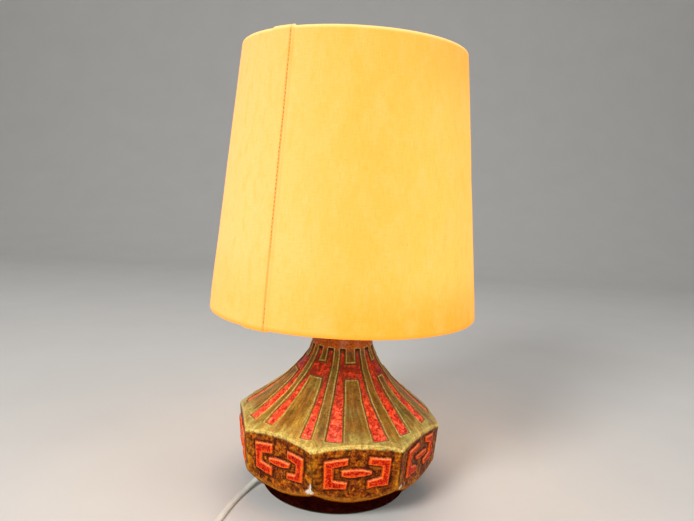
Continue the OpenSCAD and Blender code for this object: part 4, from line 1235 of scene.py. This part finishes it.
cord_skin = cord_material()
for name, path, heading, node in (
        ("cord_to_switch", SWITCH_PATH, (-1, 0, 0), "cord_lamp_side"),
        ("cord_to_plug", PLUG_PATH, (1, 0, 0), "cord_plug_side")):
    register(build_cord(name, path, heading, cord_skin), "base", "cord_pvc", node)

# ------------------------------------------------------------------ bulb envelope
# Outlines as (radius, z above BULB_Z): neck, then the globe up to its tip
BULB_NECK = [[11.65, 21], [11.65, 23.2], [11.7, 25.2], [12.3, 26.6]]
BULB_GLOBE = [
    [13.4, 27.6], [14.2, 32], [15.3, 35.4], [19, 42], [24, 50.5], [27.8, 58.4], [29.6, 65.6],
    [30, 72], [29.2, 79.4], [26.8, 86.6], [22.4, 93.2], [16.4, 98.2], [8.6, 101.5],
    [0.35, 102.38]]


def build_bulb(material):
    glass = 0.62
    segments = 128
    outer = np.concatenate([BULB_NECK, spline(BULB_GLOBE, 8)])
    tangent = unit(np.gradient(outer, axis=0))
    inner = outer - glass * np.stack([tangent[:, 1], -tangent[:, 0]], 1)
    inner[:, 0] = np.maximum(inner[:, 0], 0.3)
    profile = np.concatenate([outer, inner[::-1]]) + [0, BULB_Z]
    return mesh_object("bulb_envelope", lathe(profile, segments) * MM,
                       grid_faces(len(profile), segments), material)


def frosted_material():
    """Brightest at the height of hot_z, in metres."""
    hot_z = 0.251
    mat = Mat("frosted_glass")
    frost = mat.noise(scale=1600)
    away = mat.math("ABSOLUTE", mat.axis(mat.place, 2) - hot_z)
    return mat.surface(
        color=rgb(250, 244, 228), rough=frost.fit(0.3, 0.7, to=(0.3, 0.5)),
        emit=rgb(255, 222, 160), emit_strength=away.ease(0.0, 0.04, to=(1.6, 0.55)) * 1.6,
        specular=0.5, normal=mat.bump(frost, strength=0.15, distance=0.00004))


register(build_bulb(frosted_material()), "bulb", "bulb_glass", "bulb_glass")


# ------------------------------------------------------------------ CAD pieces that stay
def fibre_material():
    mat = Mat("pressed_fibre")
    fibre = mat.noise(scale=800, detail=5, rough=0.7, warp=0.8, stretch=(1, 1, 0.3))
    return mat.surface(color=mat.mix(fibre, rgb(92, 58, 30), rgb(160, 112, 66)), rough=0.85,
                       normal=mat.bump(fibre, strength=0.6, distance=0.0001))


def porcelain_material():
    mat = Mat("bare_porcelain")
    grain = mat.noise(scale=900, detail=4, rough=0.6)
    return mat.surface(color=mat.mix(grain, rgb(222, 214, 196), rgb(240, 234, 220)), rough=0.6,
                       normal=mat.bump(grain, strength=0.3, distance=0.00006))


def paint_material():
    mat = Mat("enamel_wire")
    grain = mat.noise(scale=500, detail=4, rough=0.6)
    chips = mat.noise(scale=260, detail=5, rough=0.7).ease(0.66, 0.7)
    color = mat.mix(grain, rgb(226, 220, 204), rgb(240, 236, 224))
    return mat.surface(color=mat.mix(chips, color, rgb(120, 96, 70)), rough=0.35, coat=0.2,
                       normal=mat.bump(grain, strength=0.2, distance=0.0001))


def glass(name, color, rough, alpha):
    mat = Mat(name)
    smear = mat.noise(scale=300)
    return mat.surface(color=color, rough=smear.fit(0.3, 0.7, to=(rough * 0.7, rough * 1.3)),
                       alpha=alpha, specular=0.5, coat=0.3)


def filament_material():
    mat = Mat("hot_filament")
    heat = mat.mix(mat.noise(scale=2500, detail=2), rgb(255, 190, 96), rgb(255, 226, 168))
    return mat.surface(color=rgb(255, 190, 110), rough=0.5, emit=heat, emit_strength=14.0)


SLOTS = {
    "white_plastic": plastic("moulded_white", rgb(236, 232, 218), rough=0.36,
                             dark=rgb(214, 206, 184)),
    "black_plastic": plastic("pressed_black", rgb(30, 26, 24), rough=0.24,
                             dark=rgb(50, 34, 26), vary=0.08, grain=1400),
    "brass": metal("aged_brass", rgb(206, 166, 92), rgb(112, 78, 36), rough=0.26,
                   brush=(1, 1, 24), amount=0.6),
    "zinc_steel": metal("zinc_plated", rgb(186, 186, 180), rgb(110, 106, 98), rough=0.3,
                        brush=(1, 1, 20), amount=0.5),
    "nickel": metal("nickel_pins", rgb(206, 200, 188), rgb(140, 130, 112), rough=0.16,
                    brush=(30, 1, 1), amount=0.3),
    "porcelain": porcelain_material(),
    "fibre": fibre_material(),
    "wire_brown": plastic("core_brown", rgb(104, 58, 30), rough=0.42, vary=0.05, grain=1800),
    "wire_blue": plastic("core_blue", rgb(52, 96, 168), rough=0.42, vary=0.05, grain=1800),
    "clear_glass": glass("clear_stem_glass", rgb(236, 244, 238), rough=0.08, alpha=0.35),
    "black_glass": glass("black_cap_glass", rgb(22, 22, 26), rough=0.12, alpha=1.0),
    "cap_metal": metal("cap_aluminium", rgb(206, 204, 196), rgb(140, 134, 120), rough=0.3,
                       brush=(1, 1, 20), amount=0.4),
    "filament": filament_material(),
    "white_paint": paint_material(),
    "cord_pvc": cord_skin,
    "linen": linen,
}
slot_of = {part["node"]: part["material_slot"] for part in frame["record"]["subparts"]}
for name, ob in frame["nodes"].items():
    if name in replaced_nodes:
        continue
    material = SLOTS[slot_of[name]]
    if not ob.data.materials:
        ob.data.materials.append(material)
    for slot in ob.material_slots:
        slot.material = material

# ------------------------------------------------------------------ stage, light, camera (metres)
CAMERA_TURN = 13.4 * D2R  # camera and backdrop are turned about Z, so the camera stands towards -X


def build_stage():
    """Floor that curves up into a wall behind the lamp, just under z = 0."""
    curve_y, curve_radius = 1.5, 1.2
    profile = [(y, 0.0) for y in np.linspace(-6.0, curve_y, 16)]
    for k in range(1, 25):
        angle = math.pi / 2 * k / 24
        profile.append((curve_y + curve_radius * math.sin(angle),
                        curve_radius - curve_radius * math.cos(angle)))
    profile += [(curve_y + curve_radius, z) for z in np.linspace(1.5, 4.0, 6)]
    across = np.linspace(-7, 7, 13)
    mat = Mat("paper_floor")
    cloud = mat.noise(scale=9, detail=4)
    grain = mat.noise(scale=500)
    paper = mat.surface(color=mat.mix(cloud, rgb(214, 212, 208), rgb(222, 220, 216)), rough=0.9,
                        normal=mat.bump(grain, strength=0.1, distance=0.0002), specular=0.1)
    ob = mesh_object("stage_floor", [[x, y, z - 0.00012] for y, z in profile for x in across],
                     grid_faces(len(profile), len(across), wrap_rows=False, wrap_cols=False),
                     paper, outward=False)
    ob.data.flip_normals()
    ob.rotation_euler = (0, 0, -CAMERA_TURN)


build_stage()
world = bpy.data.worlds.new("studio")
world.use_nodes = True
background = world.node_tree.nodes["Background"]
background.inputs["Color"].default_value = (0.80, 0.82, 0.86, 1)
background.inputs["Strength"].default_value = 0.28
scene.world = world


def add_light(name, kind, location, power, color):
    light = bpy.data.lights.new(name, kind)
    light.energy = power
    light.color = color
    ob = bpy.data.objects.new(name, light)
    scene.collection.objects.link(ob)
    ob.location = location
    return ob


def area(name, location, target, size, power, color):
    ob = add_light(name, "AREA", location, power, color)
    ob.data.shape = "DISK"
    ob.data.size = size
    aim = Vector(target) - Vector(location)
    ob.rotation_euler = aim.to_track_quat("-Z", "Y").to_euler()


area("key", location=(-1.25, -1.15, 1.25), target=(0, 0, 0.14), size=0.65, power=30,
     color=(1.0, 0.985, 0.96))
area("fill", location=(1.35, -1.1, 0.75), target=(0, 0, 0.12), size=1.2, power=8.5,
     color=(1.0, 0.97, 0.93))
area("top", location=(0.1, 0.4, 1.9), target=(0, 0, 0.2), size=1.2, power=8, color=(1, 1, 1))
area("low_front", location=(-0.25, -1.7, 0.35), target=(0, 0, 0.08), size=0.7, power=5,
     color=(1, 0.98, 0.95))
bulb_light = add_light("bulb_light", "POINT", location=(0, 0, 0.3), power=0.45,
                       color=(1.0, 0.72, 0.38))
bulb_light.data.shadow_soft_size = 0.03


def add_camera():
    """Looks along `forward`, rolled about it; placed before the turn about Z."""
    yaw, roll = 0.28 * D2R, 2.96 * D2R
    location = Vector((0.0, -0.60558, 0.29424))
    forward = np.array([0.004906, 0.992978, -0.118200])
    level = np.array([math.cos(yaw), -math.sin(yaw), 0.0])
    upright = np.cross(level, forward)
    right = math.cos(roll) * level + math.sin(roll) * upright
    up = -math.sin(roll) * level + math.cos(roll) * upright
    turn = Matrix.Rotation(-CAMERA_TURN, 3, "Z")
    axes = Matrix([turn @ Vector(axis) for axis in (right, up, -forward)])
    data = bpy.data.cameras.new("camera")
    data.sensor_fit = "HORIZONTAL"
    data.sensor_width = 36.0
    data.lens = 32.7568876
    data.shift_x = -0.001440922
    data.clip_start = 0.01
    camera = bpy.data.objects.new("camera", data)
    scene.collection.objects.link(camera)
    camera.matrix_world = Matrix.Translation(turn @ location) @ axes.transposed().to_4x4()
    scene.camera = camera


add_camera()
scene.view_settings.view_transform = "Standard"
scene.view_settings.look = "None"

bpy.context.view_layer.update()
